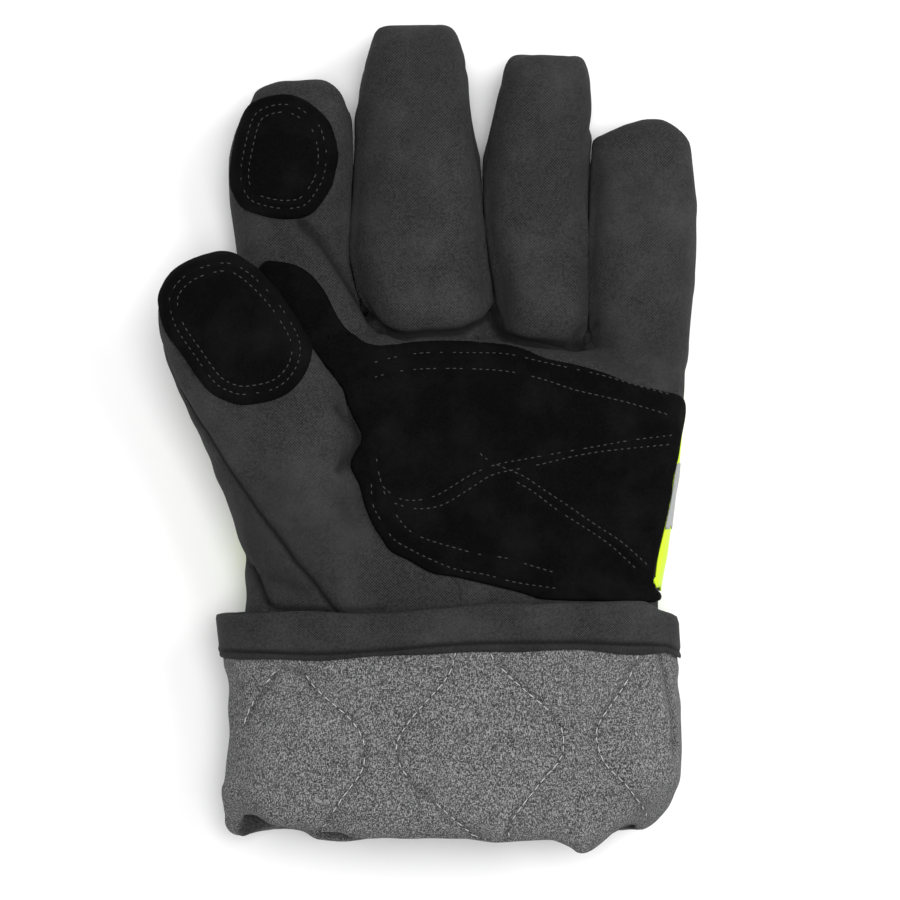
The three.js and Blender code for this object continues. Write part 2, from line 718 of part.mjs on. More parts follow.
// Fingers: the strips between them, then the two set-in fronts, then what is left of palm and back
function strip(row, grow) {
  const [a, b] = [fingerForms[row.left], fingerForms[row.right]];
  const meet = (a.centre + b.centre + (a.width - b.width) / 2) / 2;
  const crotch = palmStart + row.crotch * palmLength - grow;
  const leftEnd = a.base + row.leftEnd * a.length + grow;
  const rightEnd = b.base + row.rightEnd * b.length + grow;
  const outline = [
    new THREE.Vector2(a.centre - grow, crotch),
    new THREE.Vector2(b.centre + grow, crotch),
    new THREE.Vector2(b.centre + grow, rightEnd),
    new THREE.Vector2(meet, rightEnd),
    new THREE.Vector2(meet, leftEnd),
    new THREE.Vector2(a.centre - grow, leftEnd),
  ];
  const half = (place) => (place.width * fourchetteWidth) / 2 + grow;
  const space = seamLayer((height, place) => height - half(place), (height, place) => height + half(place));
  return space.intersect(prism(outline, 0, aboveAll));
}
const strips = fourchettes.map((row) => largest(handShell.intersect(strip(row, 0))));
const stripsWide = wasm.Manifold.union(fourchettes.map((row) => strip(row, pieceGap)));
const handRest = handShell.subtract(stripsWide);

function fingerFrontSpace(seam, grow) {
  const line = seam.map(palmPoint);
  const far = palmStart + fingerReach * palmLength;
  const outline = [...line, new THREE.Vector2(line.at(-1).x, far), new THREE.Vector2(line[0].x, far)];
  const low = seamLayer((height) => height + pieceGap / 2 - grow, () => aboveAll);
  return low.intersect(prism(outline, 0, aboveAll, grow));
}
const middleFront = largest(handRest.intersect(fingerFrontSpace(middleBaseSeam, 0)));
const ringFront = largest(handRest.intersect(fingerFrontSpace(ringBaseSeam, 0)));
const setIn = fingerFrontSpace(middleBaseSeam, pieceGap).add(fingerFrontSpace(ringBaseSeam, pieceGap));
const palmPanel = largest(handRest.intersect(frontSpace).subtract(setIn));
const backPanel = largest(handRest.intersect(backSpace));

// Suede
const overThumb = (grow) => loft(thumbForm, grow, outerSides);
const overIndex = (grow) => loft(fingerForms.index, grow, outerSides);
const palmPatchSpace = prism(palmPatchOutline.map(palmPoint), 0, aboveAll).intersect(frontSpace);
const palmPatch = largest(
  layer(hand, pieceGap, suedeThickness).intersect(palmPatchSpace).subtract(overThumb(pieceGap)),
);
const indexPatchSpace = prism(indexPatchOutline.map(indexPoint), 0, aboveAll);
const indexPatch = largest(
  layer(overIndex, pieceGap, suedeThickness).intersect(indexPatchSpace).intersect(frontSpace),
);
const thumbPatchSpace = prism(thumbPatchOutline.map(thumbPoint), 0, aboveAll)
  .intersect(aboveThumbSeam(-thumbPatchDrop));
const thumbPatch = largest(
  layer(overThumb, pieceGap, suedeThickness)
    .intersect(thumbPatchSpace)
    .subtract(hand(2 * pieceGap + suedeThickness)),
);

// Tape across the back and up the little-finger side, as far as the suede's edge
function tape(lift, thickness, top, width) {
  const edge = patchSideEdge.map(palmPoint);
  const beside = [...edge, new THREE.Vector2(reach, edge.at(-1).y), new THREE.Vector2(reach, edge[0].y)];
  const side = prism(beside, 0, aboveAll);
  const back = [
    new THREE.Vector2(-reach, top - width),
    new THREE.Vector2(reach, top - width),
    new THREE.Vector2(reach, top),
    new THREE.Vector2(-reach, top),
  ];
  const band = prism(back, -belowAll, aboveAll);
  const space = prism(back, -belowAll, tapeEdgeHeight).add(side).intersect(band);
  return largest(layer(hand, lift, thickness).intersect(space));
}
const yellowTape = tape(pieceGap, tapeThickness, tapeTop, tapeWidth);
const silverStripe = tape(2 * pieceGap + tapeThickness, stripeThickness, stripeTop, stripeWidth);

// Cuff: a looped profile runs down the turned-back wall, round the fold and up the inner leg
const cuffForm = {
  rows: cuffRows,
  width: cuffWidth,
  length: cuffDepth,
  thickness: cuffThickness,
  floorAt: (distance) => between(cuffRows, 'along', distance / cuffDepth, 'lift') * bindingStack,
};
const mouthForm = { ...cuffForm, rows: mouthRows, floorAt: () => 0 };
function cuffRing(form, distance, grow, shift = 0) {
  const box = sectionBox(form, distance, grow);
  const share = THREE.MathUtils.clamp(1 - distance / (sagReach * cuffDepth), 0, 1);
  return crossSection(box, cuffSides, cuffSquareness, (across, height) => {
    const front = THREE.MathUtils.clamp(height / cuffThickness, 0, 1);
    const sags = ['back', 'front'].map((side) => between(foldSag, 'across', across / cuffWidth, side));
    const sag = THREE.MathUtils.lerp(sags[0], sags[1], front) * cuffDepth * share;
    return new THREE.Vector3(cuffCentre + across, foldAt + distance + shift - sag, height);
  });
}
function legRing({ along }, grow) {
  const distance = along * palmLength;
  const box = sectionBox(palmForm, distance, grow - shellWall - pieceGap - legSlack);
  const place = (across, height) => palmForm.place(across, distance, height);
  return crossSection(box, cuffSides, cuffSquareness, place);
}
const cuffPlaces = cuffRows.map((row) => row.along * cuffDepth);
const mouthPlaces = mouthRows.map((row) => row.along * cuffDepth);
const foldInset = 2.6;
const foldRise = 0.5;
const slotFloor = 0.12 * cuffDepth;
const foldRound = 0.6 * slotFloor;
const liningRings = [
  ...cuffPlaces.toReversed().map((place) => cuffRing(cuffForm, place, 0)),
  cuffRing(cuffForm, 0, -foldInset, foldRise),
  cuffRing(mouthForm, mouthPlaces[0], -liningWall, -foldRound),
  ...mouthPlaces.map((place) => cuffRing(mouthForm, place, -liningWall)),
  ...legRows.map((row) => legRing(row, -liningWall)),
  ...legRows.toReversed().map((row) => legRing(row, 0)),
  ...mouthPlaces.toReversed().map((place) => cuffRing(mouthForm, place, 0)),
  ...cuffPlaces.filter((place) => place > slotFloor).map((place) => cuffRing(cuffForm, place, -turnedWall)),
];
const cuffLining = skin(liningRings, true);

// Binding: its profile wraps the hem, outside, over the edge and a little way down the inside
const hemProfile = [
  { out: bindingStack, up: -hemWidth },
  { out: bindingStack, up: -bindingWall },
  { out: pieceGap, up: bindingStack },
  { out: -turnedWall - pieceGap, up: bindingStack },
  { out: -turnedWall - bindingStack, up: -bindingWall },
  { out: -turnedWall - bindingStack, up: -hemInside },
  { out: -turnedWall - pieceGap, up: -hemInside },
  { out: -turnedWall - pieceGap, up: pieceGap },
  { out: pieceGap, up: pieceGap },
  { out: pieceGap, up: -hemWidth },
];
const hemRings = hemProfile.map(({ out, up }) => cuffRing(cuffForm, cuffDepth + up, out));
const hemBand = skin(hemRings, true);

const glove = new THREE.Group();
glove.name = 'firefighter_glove';

function addPiece(name, solid, look) {
  const mesh = solid.getMesh();
  const geometry = new THREE.BufferGeometry();
  const positions = [];
  for (let v = 0; v < mesh.numVert; v += 1) {
    positions.push(...mesh.vertProperties.slice(v * mesh.numProp, v * mesh.numProp + 3));
  }
  geometry.setAttribute('position', new THREE.Float32BufferAttribute(positions, 3));
  geometry.setIndex(Array.from(mesh.triVerts));
  geometry.computeVertexNormals();
  const piece = new THREE.Mesh(geometry, new THREE.MeshStandardMaterial(look));
  piece.name = name;
  glove.add(piece);
}

addPiece('palm_panel', palmPanel, colours.cloth);
addPiece('back_panel', backPanel, colours.cloth);
addPiece('middle_finger_front', middleFront, colours.cloth);
addPiece('ring_finger_front', ringFront, colours.cloth);
fourchettes.forEach(({ left, right }, i) => {
  addPiece(`fourchette_${left}_${right}`, strips[i], colours.cloth);
});
addPiece('thumb_front', thumbFront, colours.cloth);
addPiece('thumb_back', thumbBack, colours.cloth);
addPiece('palm_patch', palmPatch, colours.suede);
addPiece('index_tip_patch', indexPatch, colours.suede);
addPiece('thumb_tip_patch', thumbPatch, colours.suede);
addPiece('trim_yellow', yellowTape, colours.yellow);
addPiece('trim_silver', silverStripe, colours.silver);
addPiece('cuff_lining', cuffLining, colours.lining);
addPiece('hem_band', hemBand, colours.binding);

export default glove;
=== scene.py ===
# A padded left-hand firefighter glove, lying on its back with its quilted cuff turned back over the wrist.
# The tables are in millimetres or in shares of a named size; what is built is in metres.
import math
import random
from dataclasses import dataclass
from typing import Callable

import bmesh
import bpy
import numpy as np
from bpy.props import FloatProperty, FloatVectorProperty, PointerProperty
from bpy.types import Operator, Panel, PropertyGroup
from mathutils import Matrix, Vector
from mathutils.bvhtree import BVHTree
from mathutils.kdtree import KDTree


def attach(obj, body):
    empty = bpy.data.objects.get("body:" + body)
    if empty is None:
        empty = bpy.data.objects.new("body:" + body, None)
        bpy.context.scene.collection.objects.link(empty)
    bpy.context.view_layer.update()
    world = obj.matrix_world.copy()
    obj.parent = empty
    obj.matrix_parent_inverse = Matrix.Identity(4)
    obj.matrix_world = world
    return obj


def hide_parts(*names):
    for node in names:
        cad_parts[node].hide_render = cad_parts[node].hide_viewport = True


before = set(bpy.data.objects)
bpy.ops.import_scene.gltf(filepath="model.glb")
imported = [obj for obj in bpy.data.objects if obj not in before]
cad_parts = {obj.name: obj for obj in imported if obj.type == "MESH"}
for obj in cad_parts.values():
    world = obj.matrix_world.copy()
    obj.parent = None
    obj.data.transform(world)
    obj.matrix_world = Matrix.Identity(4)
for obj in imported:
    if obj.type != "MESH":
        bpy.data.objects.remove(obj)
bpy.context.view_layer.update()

bl_info = {
    "name": "Firefighter glove",
    "version": (1, 0, 0),
    "blender": (4, 5, 0),
    "location": "3D Viewport > Sidebar > Glove",
    "description": "Builds a padded firefighter glove with a turned-back quilted cuff",
    "category": "Add Mesh",
}

MM = 0.001
FAR = 200 * MM  # Past every edge of the glove

# Columns of the row tables
ALONG, LEFT, RIGHT, UNDER, TOP, LIFT = range(6)

# Palm, cuff, tape and thumb, mostly as the solids have them
PALM_LENGTH = 76 * MM
PALM_WIDTH = 124.6 * MM
PALM_THICKNESS = 36 * MM
PALM_CENTRE = 10 * MM
PALM_START = -49 * MM
KNUCKLE_SLOPE = 0.075
CUFF_DEPTH = 64 * MM
CUFF_WIDTH = 130.5 * MM
CUFF_THICKNESS = 46 * MM
CUFF_CENTRE = 5.9 * MM
FOLD_AT = -111.3 * MM
HEM_WIDTH = 12.5 * MM
HEM_INSIDE = 8 * MM
TURNED_WALL = 3 * MM
LINING_WALL = 1.6 * MM
BINDING_WALL = 0.8 * MM
FOLD_ROLL = 2.6 * MM
PIECE_GAP = 0.3 * MM
SHELL_WALL = 2.6 * MM
LEG_SLACK = 1.3 * MM
BINDING_STACK = PIECE_GAP + BINDING_WALL
TAPE_STACK = 1.35 * MM
UNDER_CUFF = TURNED_WALL + 2 * BINDING_STACK + PIECE_GAP
TAPE_TOP = 9 * MM
TAPE_WIDTH = 51 * MM
STRIPE_WIDTH = 18.5 * MM
TAPE_EDGE_HEIGHT = 12 * MM
TAPE_SIDE_HEIGHT = 20 * MM
THUMB_LENGTH = 101 * MM
THUMB_WIDTH = 40 * MM
THUMB_THICKNESS = 27 * MM
THUMB_LEAN = math.radians(18.9)
THUMB_ROOT = (-26.0 * MM, -45.66 * MM)
THUMB_SKIN = 1.2 * MM
FINGER_SQUARENESS = 2.5
PALM_SQUARENESS = 2.9
CUFF_SQUARENESS = 2.8
FOURCHETTE_WIDTH = 13 * MM
STRIP_ABOVE = 1.5 * MM

# Facets of the forms before the hand is joined, and how far inside the finished shell the forms lie
FORM_STEP = 1.0 * MM
FORM_SIDES = 72
FORM_INSET = 0.5 * MM

# Facets of the cuff, where it is seen and where it isn't, and of its binding
CUFF_SIDES = 400
SEEN_STEP = 0.9 * MM
HIDDEN_STEP = 5 * MM
BINDING_STEP = 0.7 * MM

# Part of the fingers' sides that may swell, nearly closing the gap to their neighbours
SWELL_FROM = (-32 * MM, 24 * MM)
SWELL_BELOW = 24 * MM
CLOSED_GAP = 0.05 * MM
RAY_START = 0.3 * MM

# Sizes of the dents in the padding and their seeds
BIG_DENTS = (26 * MM, 3)
SMALL_DENTS = (11 * MM, 4)
SUEDE_DENTS = (9 * MM, 8)
LINING_DENTS = (12 * MM, 15)
CUFF_DENTS = (34 * MM, 21)
STITCH_SEED = 7

# Each finger's centre, base and sizes in millimetres, and its rows in shares of them
FINGERS = {
    "index": {
        "centre": -37.7, "base": 28.4, "width": 32, "length": 71.5, "thickness": 27,
        "rows": (
            (-0.14, -0.34, 0.62, -0.02, 0.96),
            (0.0, -0.39, 0.74, -0.02, 0.98),
            (0.08, -0.42, 0.66, -0.02, 1.0),
            (0.2, -0.47, 0.53, -0.02, 1.02),
            (0.33, -0.5, 0.484, 0.0, 1.04),
            (0.57, -0.557, 0.506, 0.1, 1.12),
            (0.69, -0.553, 0.52, 0.18, 1.18),
            (0.79, -0.49, 0.515, 0.26, 1.2),
            (0.86, -0.43, 0.495, 0.33, 1.19),
            (0.92, -0.36, 0.46, 0.4, 1.15),
            (0.96, -0.317, 0.418, 0.46, 1.1),
            (0.985, -0.22, 0.366, 0.52, 1.04),
            (1.0, -0.14, 0.3, 0.6, 0.96),
        ),
    },
    "middle": {
        "centre": -2.1, "base": 28.8, "width": 37, "length": 87, "thickness": 28,
        "rows": (
            (-0.1, -0.2, 0.45, -0.02, 0.76),
            (0.0, -0.32, 0.52, -0.02, 0.94),
            (0.035, -0.38, 0.545, -0.02, 1.03),
            (0.09, -0.42, 0.545, -0.02, 1.08),
            (0.17, -0.465, 0.527, -0.02, 1.08),
            (0.27, -0.51, 0.504, 0.0, 1.06),
            (0.43, -0.495, 0.466, 0.03, 1.05),
            (0.75, -0.457, 0.39, 0.17, 1.09),
            (0.88, -0.412, 0.36, 0.26, 1.09),
            (0.937, -0.374, 0.326, 0.31, 1.06),
            (0.967, -0.351, 0.304, 0.36, 1.01),
            (0.989, -0.336, 0.277, 0.42, 0.94),
            (1.0, -0.306, 0.247, 0.5, 0.85),
        ),
    },
    "ring": {
        "centre": 31.6, "base": 26.0, "width": 27.5, "length": 81.5, "thickness": 26,
        "rows": (
            (-0.1, -0.32, 0.42, -0.02, 0.74),
            (0.0, -0.37, 0.46, -0.02, 0.92),
            (0.035, -0.385, 0.47, -0.02, 1.02),
            (0.1, -0.4, 0.483, -0.02, 1.07),
            (0.18, -0.412, 0.484, -0.02, 1.08),
            (0.32, -0.494, 0.494, 0.0, 1.06),
            (0.49, -0.54, 0.504, 0.04, 1.06),
            (0.73, -0.504, 0.524, 0.17, 1.1),
            (0.84, -0.443, 0.55, 0.25, 1.1),
            (0.905, -0.392, 0.534, 0.31, 1.07),
            (0.96, -0.346, 0.504, 0.37, 1.01),
            (0.988, -0.3, 0.473, 0.43, 0.93),
            (1.0, -0.26, 0.433, 0.5, 0.84),
        ),
    },
    "little": {
        "centre": 60.8, "base": 21.3, "width": 30, "length": 68.5, "thickness": 25,
        "rows": (
            (-0.1, -0.4, 0.395, -0.02, 0.98),
            (0.06, -0.46, 0.45, -0.02, 1.02),
            (0.18, -0.485, 0.473, -0.02, 1.05),
            (0.33, -0.495, 0.505, 0.0, 1.08),
            (0.49, -0.495, 0.524, 0.04, 1.1),
            (0.81, -0.471, 0.482, 0.2, 1.13),
            (0.895, -0.453, 0.465, 0.27, 1.1),
            (0.932, -0.393, 0.42, 0.32, 1.05),
            (0.958, -0.263, 0.36, 0.37, 0.99),
            (0.983, -0.11, 0.28, 0.44, 0.92),
            (1.0, 0.01, 0.21, 0.54, 0.8),
        ),
    },
}

# Cloth that closes the crotches between the fingers: centre, start, width, length and thickness in mm
WEBS = ((-20.5, 18, 14, 20, 17), (18.5, 20, 17, 21, 18), (45.5, 16, 12, 20, 16))
WEB_ROWS = (
    (0.0, -0.5, 0.5, 0.1, 1.0),
    (0.6, -0.46, 0.46, 0.1, 1.0),
    (0.9, -0.3, 0.3, 0.2, 0.85),
    (1.0, -0.12, 0.12, 0.4, 0.7),
)

# Palm rows; the last column is how much of the turned-back wall's room is kept under the wrist
PALM_ROWS = (
    (-0.17, -0.489, 0.44, 0.165, 1.02, 1),
    (0.05, -0.489, 0.446, 0.165, 1.03, 1),
    (0.12, -0.489, 0.451, 0.08, 1.03, 0.35),
    (0.22, -0.489, 0.4615, -0.01, 1.02, 0),
    (0.4, -0.49, 0.476, -0.03, 1.0, 0),
    (0.58, -0.493, 0.488, -0.03, 0.98, 0),
    (0.75, -0.496, 0.499, -0.03, 0.95, 0),
    (0.87, -0.5, 0.506, -0.03, 0.89, 0),
    (0.945, -0.5, 0.508, -0.03, 0.82, 0),
    (0.985, -0.49, 0.5, 0.0, 0.72, 0),
    (1.01, -0.46, 0.47, 0.06, 0.6, 0),
)
THUMB_ROWS = (
    (0.0, -0.3, 0.4, 0.27, 1.3),
    (0.12, -0.42, 0.44, 0.27, 1.4),
    (0.25, -0.49, 0.43, 0.3, 1.47),
    (0.36, -0.485, 0.46, 0.4, 1.52),
    (0.44, -0.488, 0.53, 0.54, 1.55),
    (0.54, -0.5, 0.545, 0.72, 1.62),
    (0.61, -0.515, 0.49, 0.84, 1.7),
    (0.7, -0.53, 0.43, 0.94, 1.78),
    (0.78, -0.545, 0.39, 0.99, 1.84),
    (0.85, -0.53, 0.34, 1.02, 1.87),
    (0.91, -0.48, 0.265, 1.06, 1.87),
    (0.95, -0.415, 0.2, 1.1, 1.83),
    (0.98, -0.33, 0.13, 1.16, 1.77),
    (1.0, -0.21, 0.01, 1.27, 1.66),
)
CUFF_ROWS = (
    (0.0, -0.468, 0.425, 0.06, 0.92, 0),
    (0.03, -0.48, 0.45, 0.0, 0.97, 0),
    (0.075, -0.483, 0.471, -0.02, 1.0, 0),
    (0.16, -0.487, 0.485, -0.03, 1.02, 0),
    (0.25, -0.479, 0.503, -0.03, 1.01, 0),
    (0.42, -0.47, 0.507, -0.03, 0.99, 0),
    (0.69, -0.472, 0.496, -0.03, 0.97, 0),
    (0.8, -0.482, 0.4945, -0.02, 0.97, 1),
    (1.0, -0.4915, 0.491, -0.02, 0.97, 1),
)
MOUTH_ROWS = (
    (0.125, -0.447, 0.432, 0.125, 0.9),
    (0.25, -0.447, 0.448, 0.12, 0.88),
    (0.5, -0.435, 0.452, 0.15, 0.84),
)
LEG_PLACES = (-0.19, 0.05, 0.17)
# How far the fold sags across the width, on the back and on the palm side, in shares of the cuff's depth
FOLD_SAG = (
    (-0.48, 0.03, -0.19),
    (-0.44, 0.02, -0.145),
    (-0.4, -0.005, -0.1),
    (-0.36, -0.02, -0.065),
    (-0.31, 0.0, -0.055),
    (-0.28, 0.038, -0.048),
    (-0.236, 0.042, -0.038),
    (-0.17, 0.026, -0.01),
    (-0.12, -0.02, -0.014),
    (0.03, -0.04, -0.014),
    (0.11, -0.04, 0.008),
    (0.22, -0.02, -0.002),
    (0.252, -0.02, 0.02),
    (0.285, -0.02, 0.052),
    (0.325, -0.02, 0.024),
    (0.372, -0.01, -0.032),
    (0.41, -0.008, -0.07),
    (0.44, 0.0, -0.105),
    (0.465, -0.02, -0.14),
)
# How far the hem's top and bottom edges stray from straight across the width, in millimetres
HEM_BOW = (
    (-60.0, -3.0, -1.5),
    (-45.0, -3.0, -1.7),
    (-30.0, -3.0, -2.0),
    (-10.0, -2.5, -0.7),
    (4.0, -1.1, 0.5),
    (19.0, 0.0, 1.1),
    (40.0, 0.5, 1.1),
    (60.0, 0.3, 0.2),
    (66.0, -2.5, 0.3),
    (71.0, -3.9, -2.0),
)
# Height of the side seam and how wide the strips between the fingers stay, up the hand
SIDE_SEAM = (
    (-0.4, 0.53, 1),
    (0.118, 0.514, 1),
    (0.908, 0.389, 1),
    (1.434, 0.417, 1),
    (1.763, 0.5, 0.85),
    (2.066, 0.542, 0.5),
    (2.5, 0.56, 0.5),
)

# Outlines and seams seen from above the palm: across in shares of its width, along in shares of its length
PALM_PATCH = (
    (-0.442, 1.29), (-0.41, 1.29), (-0.37, 1.275), (-0.336, 1.238), (-0.305, 1.172), (-0.278, 1.083),
    (-0.244, 1.021), (-0.193, 0.98), (-0.08, 0.991), (0.019, 0.987), (0.12, 0.973), (0.185, 0.932),
    (0.25, 0.91), (0.3175, 0.881), (0.383, 0.84), (0.45, 0.814), (0.497, 0.781), (0.488, 0.641),
    (0.473, 0.512), (0.457, 0.357), (0.439, 0.24), (0.425, 0.11), (0.439, 0.074), (0.434, 0.04),
    (0.3175, 0.044), (0.185, 0.052), (0.1445, 0.07), (0.066, 0.103), (-0.013, 0.133), (-0.067, 0.147),
    (-0.118, 0.192), (-0.159, 0.228), (-0.179, 0.273), (-0.199, 0.328), (-0.215, 0.39), (-0.2285, 0.468),
    (-0.2475, 0.535), (-0.236, 0.59), (-0.221, 0.645), (-0.242, 0.715), (-0.265, 0.79), (-0.3, 0.86),
    (-0.352, 0.95), (-0.397, 1.04), (-0.435, 1.15), (-0.458, 1.24),
)
PATCH_SIDE_EDGE = (
    (0.505, 0.86), (0.5, 0.781), (0.491, 0.641), (0.476, 0.512), (0.46, 0.357), (0.442, 0.24),
    (0.428, 0.11), (0.442, 0.074), (0.437, 0.02),
)
THUMB_ZONE = (
    (-0.415, -0.25), (-0.435, 0.033), (-0.4465, 0.081), (-0.471, 0.155), (-0.51, 0.247), (-0.6, 0.523),
    (-0.25, 0.726), (-0.232, 0.645), (-0.232, 0.578), (-0.225, 0.523), (-0.206, 0.442), (-0.184, 0.346),
    (-0.148, 0.265), (-0.098, 0.21), (-0.044, 0.17), (-0.004, 0.1), (0.005, -0.25),
)
THUMB_SEAM = (
    (-0.2, -0.3), (-0.245, -0.05), (-0.291, 0.026), (-0.332, 0.118), (-0.375, 0.199), (-0.408, 0.28),
    (-0.4465, 0.357), (-0.485, 0.45), (-0.523, 0.538), (-0.559, 0.641), (-0.597, 0.737), (-0.631, 0.844),
    (-0.649, 0.914), (-0.673, 1.028), (-0.72, 1.2), (-0.9, 1.6),
)
MIDDLE_SEAM = (
    (-0.246, 1.7), (-0.25, 1.46), (-0.2535, 1.33), (-0.243, 1.21), (-0.222, 1.11), (-0.181, 1.054),
    (-0.139, 1.017), (-0.08, 1.028), (-0.004, 1.031), (0.055, 1.076), (0.069, 1.12), (0.074, 1.17),
    (0.0585, 1.33), (0.047, 1.51), (0.0425, 1.7),
)
RING_SEAM = (
    (0.0425, 1.7), (0.047, 1.51), (0.0585, 1.33), (0.074, 1.17), (0.072, 1.08), (0.085, 1.028),
    (0.133, 1.002), (0.192, 0.984), (0.261, 0.969), (0.282, 0.988), (0.286, 1.17), (0.2855, 1.33),
    (0.2875, 1.51), (0.289, 1.7),
)
# Suede over the thumb's tip in millimetres, and over the index finger's in shares of its width and length
THUMB_PATCH = (
    (-55.0, 50.6), (-62.6, 49.0), (-68.4, 45.8), (-72.6, 40.6), (-73.0, 35.8), (-71.6, 30.2), (-69.6, 26.4),
    (-66.2, 21.6), (-62.4, 16.0), (-58.6, 11.8), (-52.8, 9.2), (-48.4, 9.0), (-41.4, 10.4), (-36.7, 13.2),
    (-33.2, 17.9), (-31.8, 23.2), (-32.4, 28.0), (-35.2, 33.6), (-39.0, 39.2), (-44.2, 44.8), (-49.6, 49.0),
)
INDEX_PATCH = (
    (-0.065, 0.938), (0.128, 0.915), (0.311, 0.844), (0.37, 0.78), (0.399, 0.707), (0.38, 0.63),
    (0.338, 0.574), (0.189, 0.48), (0.03, 0.457), (-0.126, 0.457), (-0.3, 0.475), (-0.423, 0.5035),
    (-0.515, 0.578), (-0.52, 0.625), (-0.515, 0.672), (-0.415, 0.856), (-0.292, 0.915),
)
# Where the strips between the fingers start in the palm and how far up each neighbour they run
FOURCHETTES = (
    ("index", "middle", 0.98, 0.875, 0.864),
    ("middle", "ring", 0.947, 0.864, 0.871),
    ("ring", "little", 0.914, 0.859, 0.842),
)

# Lines of stitching on the suede of the palm, in millimetres
PALM_STITCHES = (
    ((-14.8, 20.7), (-8.1, 22.4), (0.0, 23.5), (12.3, 23.5), (22.4, 23.2), (32.2, 21.0), (41.2, 19.0),
     (49.6, 17.1), (60.2, 14.0), (70.0, 11.5)),
    ((-14.8, 16.5), (-8.1, 18.2), (0.0, 19.0), (12.3, 19.0), (23.2, 18.2), (32.2, 16.2), (41.2, 13.2),
     (49.6, 11.2), (57.7, 9.2), (67.8, 6.2)),
    ((-12.3, -13.4), (-8.1, -16.8), (-3.1, -17.6), (3.4, -16.0), (11.8, -10.9), (19.0, -7.8), (27.2, -6.2),
     (36.4, -4.5), (47.9, -2.5), (57.7, -0.8), (69.2, 0.6)),
    ((-9.2, -18.2), (-3.1, -19.9), (4.2, -19.0), (11.8, -14.6), (18.2, -10.6), (24.9, -9.0), (33.0, -7.3),
     (41.2, -5.3), (49.6, -3.9), (60.2, -2.8), (68.3, -2.0)),
    ((14.0, -2.5), (15.7, -5.3), (20.7, -8.1), (27.2, -10.9), (32.2, -14.3), (39.8, -19.3), (47.9, -24.9),
     (54.3, -29.1), (61.9, -35.8)),
    ((24.9, -12.3), (29.7, -15.1), (36.4, -20.2), (43.7, -24.9), (51.2, -30.0), (58.5, -36.7)),
    ((-15.1, -12.6), (-14.8, -18.5), (-12.3, -23.5), (-9.0, -28.3), (-6.4, -30.0), (0.0, -33.3),
     (8.4, -36.7), (16.5, -38.1), (24.9, -40.3), (36.4, -42.0)),
    ((-13.7, -5.5), (-13.2, -9.4), (-12.0, -14.0), (-10.6, -17.6), (-8.1, -21.8), (-4.8, -25.8),
     (0.0, -28.3), (8.4, -30.8), (14.8, -32.5), (22.4, -33.6), (29.7, -35.8), (35.6, -37.5)),
)
# How far up the thumb's web the palm's suede may reach, and the height that the thumb's suede stays above
WEB_END = 6 * MM
THUMB_PATCH_FROM = 36 * MM
# Rows of stitching inside the edges of the fingertip suede, by how far in they run
TIP_ROWS = (2.8, 5.0)

# Quilting of the cuff, in millimetres
QUILTING = (
    ((-39.8, -59.5), (-40.6, -63.0), (-43.2, -66.8), (-46.6, -71.5), (-49.4, -76.5), (-50.6, -80.0)),
    ((-36.0, -58.0), (-34.7, -62.4), (-31.9, -67.8), (-27.7, -72.0), (-22.4, -76.4), (-19.3, -79.8),
     (-17.1, -84.0), (-16.8, -88.5), (-17.9, -92.7), (-21.3, -97.2), (-24.6, -101.9), (-28.6, -108.4)),
    ((9.0, -56.0), (8.1, -59.9), (7.0, -64.4), (4.2, -68.6), (0.0, -73.1), (-4.5, -78.4), (-7.8, -83.7),
     (-8.1, -87.1), (-7.0, -90.9), (-3.6, -95.2), (1.7, -99.8), (8.7, -106.1), (14.4, -110.8)),
    ((16.5, -57.0), (18.8, -61.3), (23.5, -66.4), (28.8, -71.1), (34.4, -75.9), (37.5, -80.4),
     (38.1, -85.1), (37.0, -89.3), (33.0, -93.8), (28.3, -99.5), (24.9, -103.9), (23.0, -107.8),
     (23.0, -111.0)),
    ((59.5, -57.0), (58.3, -62.1), (56.1, -66.9), (53.0, -71.7), (47.4, -80.2), (47.7, -85.7),
     (49.1, -89.6), (52.0, -93.0), (55.4, -96.2), (60.7, -103.6), (61.9, -106.4)),
)

# Folds pressed into the cloth: depth and half-width in millimetres, then the line
FOLDS = (
    (2.0, 1.5, ((-35.0, 59.4), (-29.1, 54.0), (-24.1, 46.8), (-20.7, 41.2), (-15.7, 33.3), (-12.9, 30.0))),
    (-1.3, 3.0, ((-37.0, 55.6), (-30.2, 49.0), (-24.1, 40.6), (-19.0, 33.9), (-15.1, 30.0))),
    (1.2, 1.6, ((-24.0, 8.0), (-19.6, 1.5), (-20.6, -4.0), (-23.5, -9.0))),
    (-0.8, 1.7, ((-12.5, 27.6), (-4.0, 28.4), (8.0, 28.3), (17.0, 27.4), (28.6, 25.0), (39.1, 22.6),
                 (52.4, 18.4), (65.5, 13.4))),
    (1.0, 1.3, ((41.5, 26.0), (43.2, 29.5), (47.0, 31.5))),
    (2.0, 1.0, ((-51.5, -32.5), (-49.9, -36.0), (-47.5, -39.5), (-45.9, -43.5), (-44.6, -46.2),
                (-42.0, -48.0), (-36.0, -48.5), (-28.0, -48.5))),
    (1.1, 0.9, ((-28.0, -48.5), (-20.0, -48.4), (-12.0, -48.0))),
)
CUFF_FOLDS = (
    (0.9, 1.0, ((65.0, -60.0), (66.6, -66.0), (68.6, -76.0), (69.4, -88.0))),
    (-0.5, 1.4, ((62.6, -60.0), (64.2, -66.0), (66.2, -76.0), (67.0, -88.0))),
    (0.9, 0.5, ((-41.0, -62.0), (-38.5, -62.6), (-35.5, -64.0), (-33.5, -65.9), (-31.9, -68.2))),
    (-0.7, 2.2, ((-52.0, -101.5), (-41.0, -106.3), (-30.0, -108.0), (-20.0, -109.5))),
)

